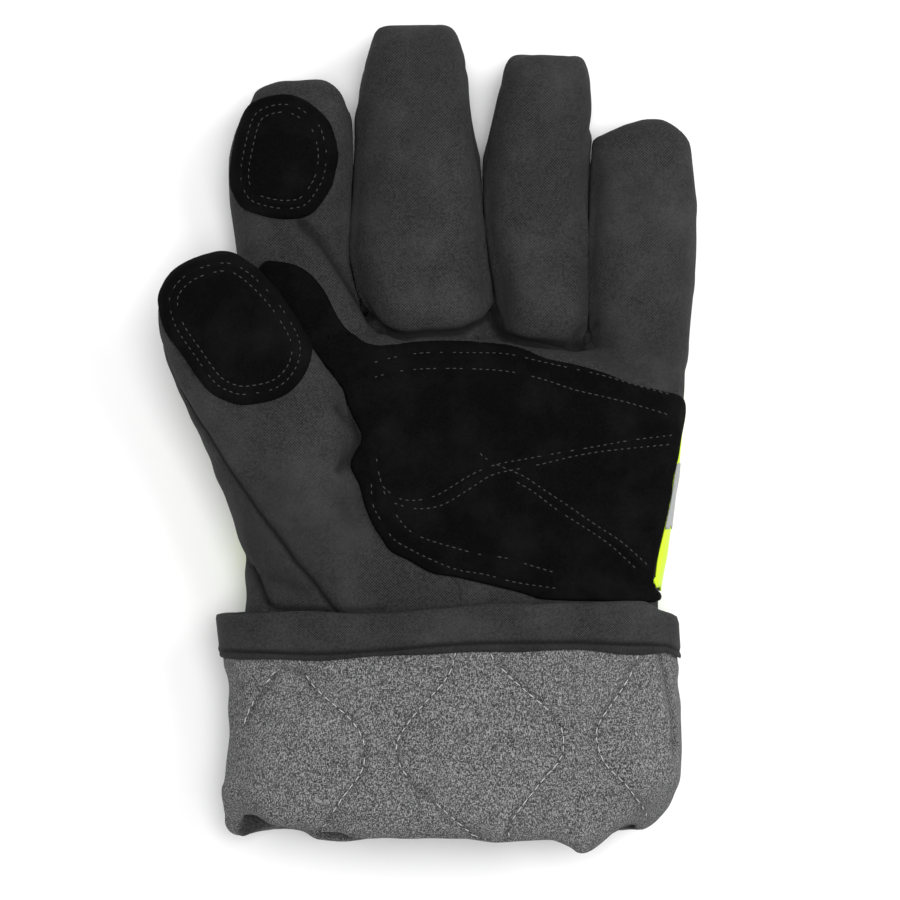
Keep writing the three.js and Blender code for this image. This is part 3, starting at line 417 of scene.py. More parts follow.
# The hand's panels. A face's panel number is its place here, and a face that is left out has -1
PANELS = (
    "palm_panel", "back_panel", "middle_finger_front", "ring_finger_front",
    "fourchette_index_middle", "fourchette_middle_ring", "fourchette_ring_little",
    "thumb_front", "thumb_back",
)
HAND_FORM = "hand_form"
OWN_VOTE = 1.5


# Sizes and colours


class GloveSizes(PropertyGroup):
    fineness: FloatProperty(name="Fineness", description="Size of the shell's facets",
                            default=0.83 * MM, min=0.4 * MM, max=3 * MM, unit="LENGTH", precision=5)
    cloth_wall: FloatProperty(name="Cloth wall", description="Thickness of the padded cloth panels",
                              default=1.6 * MM, unit="LENGTH", precision=5)
    suede: FloatProperty(name="Suede", description="Thickness of the suede patches",
                         default=1.2 * MM, unit="LENGTH", precision=5)
    seam_depth: FloatProperty(name="Seam depth", description="How far the seams draw the cloth in",
                              default=1.0 * MM, unit="LENGTH", precision=5)
    seam_width: FloatProperty(name="Seam width", description="How far to each side a seam draws the cloth in",
                              default=1.7 * MM, unit="LENGTH", precision=5)
    wrinkle: FloatProperty(name="Wrinkles", description="Height of the soft dents in the padding",
                           default=0.5 * MM, unit="LENGTH", precision=5)
    stitch_pitch: FloatProperty(name="Stitch pitch", description="Distance from stitch to stitch",
                                default=1.85 * MM, unit="LENGTH", precision=5)
    thread: FloatProperty(name="Thread", description="Thickness of the sewing thread",
                          default=0.36 * MM, unit="LENGTH", precision=5)
    quilt_depth: FloatProperty(name="Quilt depth", description="How far the quilting draws the lining in",
                               default=0.9 * MM, unit="LENGTH", precision=5)


def colour(label, what, value):
    return FloatVectorProperty(name=label, description=what, default=value, subtype="COLOR",
                               size=3, min=0, max=1)


class GloveColours(PropertyGroup):
    cloth: colour("Cloth", "Charcoal woven shell cloth", (0.0208, 0.0208, 0.0211))
    suede: colour("Suede", "Black suede", (0.0022, 0.0021, 0.0021))
    lining: colour("Lining", "Grey heather lining", (0.072, 0.072, 0.073))
    lining_pale: colour("Lining pale fleck", "Pale fibres of the lining", (0.325, 0.325, 0.325))
    lining_dark: colour("Lining fleck", "Dark fibres of the lining", (0.016, 0.016, 0.0165))
    binding: colour("Binding", "Charcoal hem binding", (0.0203, 0.0203, 0.0207))
    thread: colour("Thread", "Black sewing thread", (0.004, 0.004, 0.004))
    suede_thread: colour("Suede thread", "Dark grey thread on the suede", (0.035, 0.035, 0.036))
    quilt_thread: colour("Quilting thread", "Pale grey quilting thread", (0.42, 0.42, 0.42))
    yellow: colour("Fluorescent tape", "Fluorescent yellow tape", (0.6, 0.85, 0.0))
    silver: colour("Silver tape", "Reflective silver tape", (0.33, 0.34, 0.34))
    floor: colour("Floor", "Pale studio floor", (0.95, 0.95, 0.95))


# Curves and tables


def lerp(low, high, share):
    return low + (high - low) * share


def power(value, exponent):
    return np.sign(value) * np.abs(value) ** exponent


def falloff(distance, width):
    return np.exp(-((distance / width) ** 2))


def ramp(value, low, high):
    """0 below low, 1 above high, eased between them."""
    share = np.clip((value - low) / (high - low), 0, 1)
    return share * share * (3 - 2 * share)


def eased(rows, column, places):
    """A column of a table read on a smooth curve that doesn't overshoot its rows."""
    at = np.array([row[0] for row in rows], float)
    value = np.array([row[column] for row in rows], float)
    step = np.diff(at)
    slope = np.diff(value) / step
    tangent = np.empty_like(value)
    tangent[0], tangent[-1] = slope[0], slope[-1]
    before, after = slope[:-1], slope[1:]
    same = before * after > 0
    safe = np.where(same, before + after, 1)
    tangent[1:-1] = np.where(same, 2 * before * after / safe, 0)
    place = np.clip(places, at[0], at[-1])
    i = np.clip(np.searchsorted(at, place, side="right") - 1, 0, len(step) - 1)
    t = (place - at[i]) / step[i]
    return (
        value[i] * (1 + 2 * t) * (1 - t) ** 2
        + step[i] * tangent[i] * t * (1 - t) ** 2
        + value[i + 1] * t * t * (3 - 2 * t)
        + step[i] * tangent[i + 1] * t * t * (t - 1)
    )


def flow(points, step, closed=False):
    """Points a step apart on a smooth curve through the given ones."""
    points = np.asarray(points, float)
    ring = [points[-1], *points, points[0], points[1]] if closed else [
        2 * points[0] - points[1], *points, 2 * points[-1] - points[-2]]
    ring = np.array(ring)
    dense = []
    share = np.linspace(0, 1, 24, endpoint=False)[:, None]
    for a, b, c, d in zip(ring, ring[1:], ring[2:], ring[3:]):
        dense.append(0.5 * (2 * b + (c - a) * share + (2 * a - 5 * b + 4 * c - d) * share**2
                            + (3 * b - a - 3 * c + d) * share**3))
    dense = np.concatenate(dense + [ring[-2][None] if not closed else dense[0][:1]])
    length = np.concatenate([[0], np.cumsum(np.linalg.norm(np.diff(dense, axis=0), axis=1))])
    count = max(2, round(length[-1] / step))
    places = np.linspace(0, length[-1], count + 1)
    if closed:
        places = places[:-1]
    return np.stack([np.interp(places, length, dense[:, k]) for k in range(dense.shape[1])], axis=1)


def to_line(points, line, closed=False):
    """Distance from each point to a line in plan, and the nearest place on it."""
    line = np.asarray(line, float)
    start = line if closed else line[:-1]
    end = np.roll(line, -1, axis=0) if closed else line[1:]
    best = np.full(len(points), np.inf)
    spot = np.zeros((len(points), 2))
    for a, b in zip(start, end):
        run = b - a
        share = np.clip((points - a) @ run / (run @ run), 0, 1)
        near = a + share[:, None] * run
        distance = np.linalg.norm(points - near, axis=1)
        closer = distance < best
        best[closer] = distance[closer]
        spot[closer] = near[closer]
    return best, spot


def inside(points, outline):
    outline = np.asarray(outline, float)
    x, y = points[:, 0], points[:, 1]
    found = np.zeros(len(points), bool)
    for (ax, ay), (bx, by) in zip(outline, np.roll(outline, -1, axis=0)):
        if ay != by:
            crosses = (ay > y) != (by > y)
            found ^= crosses & (x < ax + (y - ay) * (bx - ax) / (by - ay))
    return found


def soft_noise(points, wavelength, seed, waves=26):
    """A smooth random field from about -1 to 1 with dents of about one size."""
    source = np.random.default_rng(seed)
    total = np.zeros(len(points))
    for _ in range(waves):
        direction = source.normal(size=3)
        direction *= 2 * math.pi / (wavelength * source.uniform(0.7, 1.6) * np.linalg.norm(direction))
        total += np.cos(points @ direction + source.uniform(0, 2 * math.pi))
    return total / math.sqrt(waves)


def closed_above(line):
    """The area in plan above a line."""
    return np.concatenate([line, [[line[-1][0], FAR], [line[0][0], FAR]]])


def closed_right(line):
    """The area in plan to the right of a line."""
    return np.concatenate([line, [[FAR, line[-1][1]], [FAR, line[0][1]]]])


def palm_line(table):
    table = np.asarray(table, float)
    return table * [PALM_WIDTH, PALM_LENGTH] + [PALM_CENTRE, PALM_START]


def on_thumb(across, along):
    x = THUMB_ROOT[0] + across * math.cos(THUMB_LEAN) - along * math.sin(THUMB_LEAN)
    y = THUMB_ROOT[1] + across * math.sin(THUMB_LEAN) + along * math.cos(THUMB_LEAN)
    return x, y


def thumb_line(table):
    table = np.asarray(table, float) * [THUMB_WIDTH, THUMB_LENGTH]
    return np.stack(on_thumb(table[:, 0], table[:, 1]), axis=1)


def plan_line(table):
    return np.asarray(table, float) * MM


def index_line(table):
    size = FINGERS["index"]
    table = np.asarray(table, float) * [size["width"] * MM, size["length"] * MM]
    return table + [size["centre"] * MM, size["base"] * MM]


# Forms


@dataclass
class Form:
    """Cross-sections along a line, how they are placed in plan, and the lowest that each may reach."""
    rows: tuple
    width: float
    length: float
    thickness: float
    squareness: float
    place: Callable
    floor: Callable


def finger_form(size):
    centre, base = size["centre"] * MM, size["base"] * MM
    return Form(
        size["rows"], size["width"] * MM, size["length"] * MM, size["thickness"] * MM, FINGER_SQUARENESS,
        lambda across, along: (centre + across, base + along), lambda distance: 0 * distance,
    )


def web_form(centre, start, width, length, thickness):
    return Form(
        WEB_ROWS, width * MM, length * MM, thickness * MM, FINGER_SQUARENESS,
        lambda across, along: (centre * MM + across, start * MM + along), lambda distance: 0 * distance,
    )


def palm_place(across, along):
    share = np.maximum(along / PALM_LENGTH, 0)
    return PALM_CENTRE + across, PALM_START + along - KNUCKLE_SLOPE * across * share**2


PALM_FORM = Form(
    PALM_ROWS, PALM_WIDTH, PALM_LENGTH, PALM_THICKNESS, PALM_SQUARENESS, palm_place,
    lambda distance: lerp(TAPE_STACK, UNDER_CUFF, eased(PALM_ROWS, LIFT, distance / PALM_LENGTH)),
)
THUMB_FORM = Form(
    THUMB_ROWS, THUMB_WIDTH, THUMB_LENGTH, THUMB_THICKNESS, FINGER_SQUARENESS, on_thumb,
    lambda distance: 0 * distance,
)


def even_turns(sides, squareness, aspect):
    """Turns that space the points of a cross-section evenly round it."""
    turn = np.linspace(0, 2 * math.pi, 4001)
    x = power(np.cos(turn), 2 / squareness) * aspect
    y = power(np.sin(turn), 2 / squareness)
    length = np.concatenate([[0], np.cumsum(np.hypot(np.diff(x), np.diff(y)))])
    return np.interp(np.linspace(0, length[-1], sides, endpoint=False), length, turn)


def sections(form, distance, turns, grow):
    """Across and height of every point of a form's cross-sections."""
    share = distance / form.length
    left, right = (eased(form.rows, k, share)[:, None] * form.width for k in (LEFT, RIGHT))
    under, top = (eased(form.rows, k, share)[:, None] * form.thickness for k in (UNDER, TOP))
    left, right, under, top = left - grow, right + grow, under - grow, top + grow
    across = lerp(left, right, (1 + power(np.cos(turns), 2 / form.squareness)) / 2)
    height = lerp(under, top, (1 + power(np.sin(turns), 2 / form.squareness)) / 2)
    return across, np.maximum(height, form.floor(distance)[:, None] - grow)


def form_points(form, step, sides, grow):
    first, last = form.rows[0][ALONG] * form.length, form.rows[-1][ALONG] * form.length
    distance = np.linspace(first, last, round((last - first) / step) + 1)
    turns = even_turns(sides, form.squareness, form.width / form.thickness)
    across, height = sections(form, distance, turns, grow)
    stretched = distance + grow * np.linspace(-1, 1, len(distance))
    x, y = form.place(across, stretched[:, None] + 0 * across)
    return np.stack([x, y, height], axis=2)


# Mesh helpers


def skin(points, looped=False):
    """A bmesh over rows of points, each row closed on itself. A looped skin closes end to end too."""
    wrapped = np.concatenate([points, points[:, :1]], axis=1)
    if looped:
        wrapped = np.concatenate([wrapped, wrapped[:1]], axis=0)
    rows, sides = wrapped.shape[:2]
    bm = bmesh.new()
    bmesh.ops.create_grid(bm, x_segments=sides - 1, y_segments=rows - 1, size=1)
    for vert, place in zip(bm.verts, wrapped.reshape(-1, 3)):
        vert.co = place
    bmesh.ops.remove_doubles(bm, verts=bm.verts, dist=1e-7)
    if not looped:
        bmesh.ops.holes_fill(bm, edges=[edge for edge in bm.edges if edge.is_boundary], sides=0)
    bmesh.ops.recalc_face_normals(bm, faces=bm.faces)
    return bm


def to_mesh(bm, name):
    mesh = bpy.data.meshes.new(name)
    bm.to_mesh(mesh)
    bm.free()
    return mesh


def spots(mesh):
    values = np.empty(len(mesh.vertices) * 3)
    mesh.vertices.foreach_get("co", values)
    return values.reshape(-1, 3)


def put(mesh, points):
    mesh.vertices.foreach_set("co", np.ascontiguousarray(points, dtype=np.float32).ravel())
    mesh.update()


def normals(mesh):
    values = np.empty(len(mesh.vertices) * 3)
    mesh.vertex_normals.foreach_get("vector", values)
    return values.reshape(-1, 3)


def edge_ends(mesh):
    values = np.empty(len(mesh.edges) * 2, dtype=np.int32)
    mesh.edges.foreach_get("vertices", values)
    return values.reshape(-1, 2)


def face_centres(mesh):
    values = np.empty(len(mesh.polygons) * 3)
    mesh.polygons.foreach_get("center", values)
    return values.reshape(-1, 3)


def face_normals(mesh):
    values = np.empty(len(mesh.polygons) * 3)
    mesh.polygons.foreach_get("normal", values)
    return values.reshape(-1, 3)


def relax(points, edges, rounds, share=0.5):
    """Moves every point towards the middle of its neighbours."""
    count = np.bincount(edges.ravel(), minlength=len(points))[:, None]
    share = np.broadcast_to(np.asarray(share, float).reshape(-1, 1), (len(points), 1))
    for _ in range(rounds):
        total = np.stack([
            np.bincount(edges[:, 0], points[edges[:, 1], k], len(points))
            + np.bincount(edges[:, 1], points[edges[:, 0], k], len(points))
            for k in range(points.shape[1])
        ], axis=1)
        points = points + share * (total / np.maximum(count, 1) - points) * (count > 0)
    return points


def fair(points, edges, rounds, draw_in=0.5, push_out=0.52):
    """Smooths points without drawing the form in."""
    for _ in range(rounds):
        points = relax(points, edges, 1, draw_in)
        points = relax(points, edges, 1, -push_out)
    return points


def set_painted_shade(mesh, values):
    """Stores the painted shade of each place, which the materials read."""
    if "seam" not in mesh.attributes:
        mesh.attributes.new("seam", "FLOAT", "POINT")
    mesh.attributes["seam"].data.foreach_set("value", values.astype(np.float32))


def joined(parts):
    """One bmesh with a copy of each part."""
    whole = bmesh.new()
    for part in parts:
        loose = to_mesh(part.copy(), "part")
        whole.from_mesh(loose)
        bpy.data.meshes.remove(loose)
    return whole


def voxel_union(parts, voxel):
    """One closed skin round overlapping closed ones."""
    source = bpy.data.objects.new("union", to_mesh(joined(parts), "union"))
    bpy.context.collection.objects.link(source)
    remesh = source.modifiers.new("Remesh", "REMESH")
    remesh.mode = "VOXEL"
    remesh.voxel_size = voxel
    graph = bpy.context.evaluated_depsgraph_get()
    mesh = bpy.data.meshes.new_from_object(source.evaluated_get(graph))
    old = source.data
    bpy.data.objects.remove(source)
    bpy.data.meshes.remove(old)
    return mesh


def add_piece(name, mesh, material, nodes):
    """Links a finished piece, which stands for CAD nodes and moves with the glove."""
    for polygon in mesh.polygons:
        polygon.use_smooth = True
    mesh.name = name
    piece = bpy.data.objects.new(name, mesh)
    bpy.context.collection.objects.link(piece)
    piece.data.materials.clear()
    piece.data.materials.append(material)
    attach(piece, "root")
    if nodes:
        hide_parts(*nodes)
    return piece


def wall(piece, thickness):
    """Gives an open skin its thickness, inwards."""
    solid = piece.modifiers.new("Wall", "SOLIDIFY")
    solid.thickness = thickness
    solid.offset = -1
    solid.use_even_offset = False


def keep_faces(source, wanted):
    """A bmesh with only the wanted faces of a mesh."""
    bm = bmesh.new()
    bm.from_mesh(source)
    bmesh.ops.delete(bm, geom=[face for face, keep in zip(bm.faces, wanted) if not keep], context="FACES")
    return bm


def drop_islands(bm):
    """Deletes all but the largest connected patch of faces."""
    left = set(bm.faces)
    islands = []
    while left:
        stack = [left.pop()]
        island = list(stack)
        while stack:
            face = stack.pop()
            for edge in face.edges:
                for other in edge.link_faces:
                    if other in left:
                        left.remove(other)
                        stack.append(other)
                        island.append(other)
        islands.append(island)
    islands.sort(key=len)
    loose = [face for island in islands[:-1] for face in island]
    if loose:
        bmesh.ops.delete(bm, geom=loose, context="FACES")


# Materials


class Nodes:
    """Adds nodes to a tree, joins their sockets and keeps them in rows."""

    def __init__(self, tree):
        self.tree = tree
        self.count = 0

    def add(self, kind, inputs=None, **settings):
        node = self.tree.nodes.new(kind)
        node.location = (200 * (self.count % 8), -220 * (self.count // 8))
        self.count += 1
        for key, value in settings.items():
            setattr(node, key, value)
        for key, value in (inputs or {}).items():
            self.feed(value, node.inputs[key])
        return node

    def feed(self, value, socket):
        if isinstance(value, bpy.types.NodeSocket):
            self.tree.links.new(value, socket)
        else:
            socket.default_value = value

    def math(self, operation, *values):
        return self.add("ShaderNodeMath", dict(enumerate(values)), operation=operation).outputs[0]

    def vector_math(self, operation, *values):
        return self.add("ShaderNodeVectorMath", dict(enumerate(values)), operation=operation).outputs[0]

    def mix(self, share, first, second):
        node = self.add("ShaderNodeMix", data_type="RGBA")
        self.feed(share, node.inputs[0])
        self.feed(first, node.inputs[6])
        self.feed(second, node.inputs[7])
        return node.outputs[2]

    def span(self, value, low, high, to_low=0.0, to_high=1.0):
        return self.add("ShaderNodeMapRange", {0: value, 1: low, 2: high, 3: to_low, 4: to_high}).outputs[0]

    def noise(self, place, scale, detail, roughness=0.5):
        inputs = {"Vector": place, "Scale": scale, "Detail": detail, "Roughness": roughness}
        return self.add("ShaderNodeTexNoise", inputs).outputs["Fac"]


def new_group(name, inputs, outputs):
    tree = bpy.data.node_groups.new(name, "ShaderNodeTree")
    for label, value in inputs.items():
        kind = "NodeSocketColor" if isinstance(value, tuple) else "NodeSocketFloat"
        tree.interface.new_socket(label, in_out="INPUT", socket_type=kind).default_value = value
    for label, kind in outputs.items():
        tree.interface.new_socket(label, in_out="OUTPUT", socket_type=kind)
    nodes = Nodes(tree)
    start = nodes.add("NodeGroupInput").outputs
    end = nodes.add("NodeGroupOutput").inputs
    return tree, nodes, start, end


def weave_group():
    """A plain weave with a slanting rib in it, laid on the plane that the surface faces most."""
    if "Weave" in bpy.data.node_groups:
        return bpy.data.node_groups["Weave"]
    tree, nodes, start, end = new_group(
        "Weave", {"Pitch": 0.6 * MM, "Unevenness": 0.7},
        {"Height": "NodeSocketFloat", "Slub": "NodeSocketFloat"})
    place = nodes.add("ShaderNodeTexCoord").outputs["Object"]
    wander = nodes.add("ShaderNodeTexNoise", {"Vector": place, "Scale": 260.0, "Detail": 2.0})
    push = nodes.vector_math("SUBTRACT", wander.outputs["Color"], (0.5, 0.5, 0.5))
    push = nodes.add("ShaderNodeVectorMath", {0: push}, operation="SCALE")
    nodes.feed(nodes.math("MULTIPLY", start["Pitch"], start["Unevenness"]), push.inputs["Scale"])
    moved = nodes.vector_math("ADD", place, push.outputs[0])
    turns = nodes.add("ShaderNodeVectorMath", {0: moved}, operation="SCALE")
    nodes.feed(nodes.math("DIVIDE", 2 * math.pi, start["Pitch"]), turns.inputs["Scale"])
    axes = nodes.add("ShaderNodeSeparateXYZ", {0: turns.outputs[0]}).outputs
    waves = [nodes.math("SINE", axes[k]) for k in range(3)]
    normal = nodes.add("ShaderNodeNewGeometry").outputs["Normal"]
    facing = nodes.add("ShaderNodeSeparateXYZ", {0: normal}).outputs
    weights = [nodes.math("POWER", nodes.math("ABSOLUTE", facing[k]), 4.0) for k in range(3)]
    total = nodes.math("ADD", nodes.math("ADD", weights[0], weights[1]), weights[2])
    parts = []
    for k, (a, b) in enumerate(((1, 2), (0, 2), (0, 1))):
        plain = nodes.math("MULTIPLY", waves[a], waves[b])
        rib = nodes.math("SINE", nodes.math("SUBTRACT", axes[a], axes[b]))
        both = nodes.math("ADD", nodes.math("MULTIPLY", plain, 0.65), nodes.math("MULTIPLY", rib, 0.35))
        parts.append(nodes.math("MULTIPLY", both, weights[k]))
    weave = nodes.math("DIVIDE", nodes.math("ADD", nodes.math("ADD", parts[0], parts[1]), parts[2]), total)
    nodes.feed(nodes.span(weave, -1.0, 1.0), end["Height"])
    slub = nodes.noise(place, 1500.0, 3.0, 0.7)
    nodes.feed(nodes.span(slub, 0.3, 0.7), end["Slub"])
    return tree


def wear_and_shade_group():
    """Lint and rubbing: patchy lightening; and painted shade, darker where a seam draws the cloth in, and in
    folds, grooves and the cuff's mouth.
    """
    if "Wear and painted shade" in bpy.data.node_groups:
        return bpy.data.node_groups["Wear and painted shade"]
    tree, nodes, start, end = new_group(
        "Wear and painted shade", {"Colour": (0.1, 0.1, 0.1, 1.0), "Rubbing": 0.3, "Painted shade": 0.5},
        {"Colour": "NodeSocketColor"})
    place = nodes.add("ShaderNodeTexCoord").outputs["Object"]
    patch = nodes.noise(place, 60.0, 5.0, 0.6)
    rub = nodes.math("MULTIPLY", nodes.span(patch, 0.45, 0.75), start["Rubbing"])
    lighter = nodes.mix(rub, start["Colour"], (0.2, 0.2, 0.2, 1.0))
    # Painted shade: the seam attribute darkens the colour towards black
    seam = nodes.add("ShaderNodeAttribute", attribute_name="seam").outputs["Fac"]
    painted_shade = nodes.math("MULTIPLY", seam, start["Painted shade"])
    nodes.feed(nodes.mix(painted_shade, lighter, (0.004, 0.004, 0.004, 1.0)), end["Colour"])
    return tree


def heather_group():
    """Heather knit: pale and dark fibres, mostly drawn out along the cuff, on a grey ground."""
    if "Heather" in bpy.data.node_groups:
        return bpy.data.node_groups["Heather"]
    tree, nodes, start, end = new_group(
        "Heather",
        {"Ground": (0.15, 0.15, 0.15, 1.0), "Pale": (0.4, 0.4, 0.4, 1.0), "Dark": (0.03, 0.03, 0.03, 1.0)},
        {"Colour": "NodeSocketColor", "Height": "NodeSocketFloat"})
    place = nodes.add("ShaderNodeTexCoord").outputs["Object"]
    drawn = nodes.add("ShaderNodeMapping", {"Vector": place, "Scale": (1.0, 0.3, 1.0)}).outputs[0]
    crossed = nodes.add("ShaderNodeMapping", {"Vector": place, "Scale": (0.35, 1.0, 1.0)}).outputs[0]
    along = nodes.noise(drawn, 4600.0, 2.0, 0.6)
    across = nodes.noise(crossed, 3900.0, 2.0, 0.6)
    clouds = nodes.noise(drawn, 420.0, 2.0, 0.6)
    pale = nodes.math("MAXIMUM", nodes.span(along, 0.54, 0.6), nodes.span(across, 0.57, 0.64))
    dark = nodes.math("MAXIMUM", nodes.span(along, 0.46, 0.4), nodes.span(across, 0.43, 0.36))
    ground = nodes.mix(nodes.span(clouds, 0.35, 0.65, 0.0, 0.3), start["Ground"], start["Dark"])
    darker = nodes.mix(nodes.math("MULTIPLY", dark, 0.75), ground, start["Dark"])
    nodes.feed(nodes.mix(nodes.math("MULTIPLY", pale, 0.8), darker, start["Pale"]), end["Colour"])
    height = nodes.math("ADD", nodes.math("MULTIPLY", along, 0.6), nodes.math("MULTIPLY", across, 0.4))
    nodes.feed(height, end["Height"])
    return tree


def rgba(value, factor=1.0):
    return (value[0] * factor, value[1] * factor, value[2] * factor, 1.0)


def new_material(name, roughness, sheen=0.0, metallic=0.0, specular=0.5):
    material = bpy.data.materials.new(name)
    material.use_nodes = True
    shader = material.node_tree.nodes["Principled BSDF"]
    shader.inputs["Roughness"].default_value = roughness
    shader.inputs["Metallic"].default_value = metallic
    shader.inputs["Sheen Weight"].default_value = sheen
    shader.inputs["Sheen Roughness"].default_value = 0.6
    shader.inputs["Specular IOR Level"].default_value = specular
    return material, Nodes(material.node_tree), shader


def bump(nodes, shader, height, strength, distance):
    node = nodes.add("ShaderNodeBump", {"Height": height, "Strength": strength, "Distance": distance})
    nodes.feed(node.outputs["Normal"], shader.inputs["Normal"])


def cloth_material(name, value, pitch):
    """Woven cloth in one colour, with lighter thread crowns and a little lint."""
    material, nodes, shader = new_material(name, 0.9, sheen=0.02, specular=0.12)
    weave = nodes.add("ShaderNodeGroup", node_tree=weave_group())
    weave.inputs["Pitch"].default_value = pitch
    crown = nodes.math("ADD", nodes.math("MULTIPLY", weave.outputs["Height"], 0.6),
                       nodes.math("MULTIPLY", weave.outputs["Slub"], 0.4))
    plain = nodes.mix(nodes.span(crown, 0.25, 0.75), rgba(value, 0.25), rgba(value, 1.85))
    # Rubbing lightens the cloth; the seam attribute darkens it with painted shade
    wear_and_shade = nodes.add("ShaderNodeGroup", {"Rubbing": 0.08, "Painted shade": 0.9}, node_tree=wear_and_shade_group())
    nodes.feed(plain, wear_and_shade.inputs["Colour"])
    nodes.feed(wear_and_shade.outputs["Colour"], shader.inputs["Base Color"])
    bump(nodes, shader, crown, 0.6, 0.2 * MM)
    return material


def suede_material(value):
    """Napped leather: nearly black, with a brushed bloom and small pores."""
    material, nodes, shader = new_material("black_suede", 0.95, specular=0.05)
    place = nodes.add("ShaderNodeTexCoord").outputs["Object"]
    nap = nodes.noise(place, 1400.0, 5.0, 0.7)
    stroke = nodes.noise(place, 90.0, 4.0, 0.6)
    share = nodes.math("MULTIPLY", nodes.span(nap, 0.35, 0.75), nodes.span(stroke, 0.3, 0.7, 0.4, 1.0))
    plain = nodes.mix(share, rgba(value, 0.5), rgba(value, 1.9))
    # Rubbing lightens the suede; the seam attribute darkens it with painted shade
    wear_and_shade = nodes.add("ShaderNodeGroup", {"Rubbing": 0.018, "Painted shade": 0.4}, node_tree=wear_and_shade_group())
    nodes.feed(plain, wear_and_shade.inputs["Colour"])
    nodes.feed(wear_and_shade.outputs["Colour"], shader.inputs["Base Color"])
    bump(nodes, shader, nap, 0.4, 0.3 * MM)
    return material


def lining_material(colours):
    """Grey heather knit, with painted shade that darkens it along the quilting, in its folds and in the
    cuff's mouth.
    """
    material, nodes, shader = new_material("heather_knit", 0.95, specular=0.1)
    heather = nodes.add("ShaderNodeGroup", node_tree=heather_group())
    heather.inputs["Ground"].default_value = rgba(colours.lining)
    heather.inputs["Pale"].default_value = rgba(colours.lining_pale)
    heather.inputs["Dark"].default_value = rgba(colours.lining_dark)
    # Rubbing lightens the lining; the seam attribute darkens it with painted shade
    wear_and_shade = nodes.add("ShaderNodeGroup", {"Rubbing": 0.1, "Painted shade": 0.85}, node_tree=wear_and_shade_group())
    nodes.feed(heather.outputs["Colour"], wear_and_shade.inputs["Colour"])
    nodes.feed(wear_and_shade.outputs["Colour"], shader.inputs["Base Color"])
    bump(nodes, shader, heather.outputs["Height"], 0.35, 0.4 * MM)
    return material


def tape_material(name, value, roughness, metallic):
    """Woven tape with a faint rib, or its glass-bead stripe."""
    material, nodes, shader = new_material(name, roughness, metallic=metallic)
    weave = nodes.add("ShaderNodeGroup", node_tree=weave_group())
    weave.inputs["Pitch"].default_value = 0.9 * MM
    face = nodes.mix(weave.outputs["Height"], rgba(value, 0.85), rgba(value))
    nodes.feed(face, shader.inputs["Base Color"])
    bump(nodes, shader, weave.outputs["Height"], 0.3, 0.1 * MM)
    return material


def thread_material(name, value):
    """Twisted sewing thread in one colour."""
    if name in bpy.data.materials:
        return bpy.data.materials[name]
    material, nodes, shader = new_material(name, 0.7, specular=0.2)
    place = nodes.add("ShaderNodeTexCoord").outputs["Object"]
    ply = nodes.noise(place, 2500.0, 3.0)
    nodes.feed(nodes.mix(ply, rgba(value, 0.5), rgba(value, 1.8)), shader.inputs["Base Color"])
    bump(nodes, shader, ply, 0.3, 0.1 * MM)
    return material


# The hand


def seam_height(y):
    return eased(SIDE_SEAM, 1, (y - PALM_START) / PALM_LENGTH) * PALM_THICKNESS


def strip_half_width(y):
    return eased(SIDE_SEAM, 2, (y - PALM_START) / PALM_LENGTH) * FOURCHETTE_WIDTH / 2


def height_over(tree, points):
    """Height of a surface under each point in plan, or below the floor where there is none."""
    found = np.full(len(points), -1.0)
    for i, (x, y) in enumerate(points):
        hit = tree.ray_cast(Vector((x, y, FAR)), Vector((0, 0, -1)))[0]
        if hit is not None:
            found[i] = hit.z
    return found


def label_panels(centres, thumb_tree, hand_tree):
    """Which panel each face belongs to."""
    plan = centres[:, :2]
    x, y, z = centres.T
    side = seam_height(y)
    label = np.where(z > side, PANELS.index("palm_panel"), PANELS.index("back_panel"))
    front = z > side
    for name, seam in (("middle_finger_front", MIDDLE_SEAM), ("ring_finger_front", RING_SEAM)):
        label[front & inside(plan, closed_above(palm_line(seam)))] = PANELS.index(name)
    for left, right, crotch, left_end, right_end in FOURCHETTES:
        a, b = FINGERS[left], FINGERS[right]
        meet = (a["centre"] + b["centre"] + (a["width"] - b["width"]) / 2) / 2
        ends = [(f["base"] + end * f["length"]) * MM for f, end in ((a, left_end), (b, right_end))]
        top = np.where(x < meet * MM, ends[0], ends[1])
        between = (x > a["centre"] * MM) & (x < b["centre"] * MM)
        between &= (y > PALM_START + crotch * PALM_LENGTH) & (y < top)
        strip = between & (z > side - strip_half_width(y)) & (z < side + STRIP_ABOVE)
        label[strip] = PANELS.index(f"fourchette_{left}_{right}")
    roll = inside(plan, palm_line(((-0.8, -0.3), (-0.4, -0.3), (-0.4, 0.3), (-0.8, 0.3))))
    label[roll & (label == PANELS.index("palm_panel"))] = PANELS.index("back_panel")
    zone = inside(plan, palm_line(THUMB_ZONE))
    thumb = front & zone
    near = inside(plan, thumb_line(((-1.0, -0.1), (1.0, -0.1), (1.0, 1.2), (-1.0, 1.2))))
    for i in np.flatnonzero(near & ~thumb):
        spot = Vector(centres[i])
        to_thumb = thumb_tree.find_nearest(spot)[3]
        if to_thumb < THUMB_SKIN and to_thumb < hand_tree.find_nearest(spot)[3]:
            thumb[i] = True
    up_thumb = (y - THUMB_ROOT[1]) * math.cos(THUMB_LEAN) - (x - THUMB_ROOT[0]) * math.sin(THUMB_LEAN)
    along = up_thumb / THUMB_LENGTH
    middle = (eased(THUMB_ROWS, UNDER, along) + eased(THUMB_ROWS, TOP, along)) / 2 * THUMB_THICKNESS
    right_side = inside(plan, closed_right(palm_line(THUMB_SEAM)))
    label[thumb] = np.where((right_side & (z > middle))[thumb],
                            PANELS.index("thumb_front"), PANELS.index("thumb_back"))
    return label


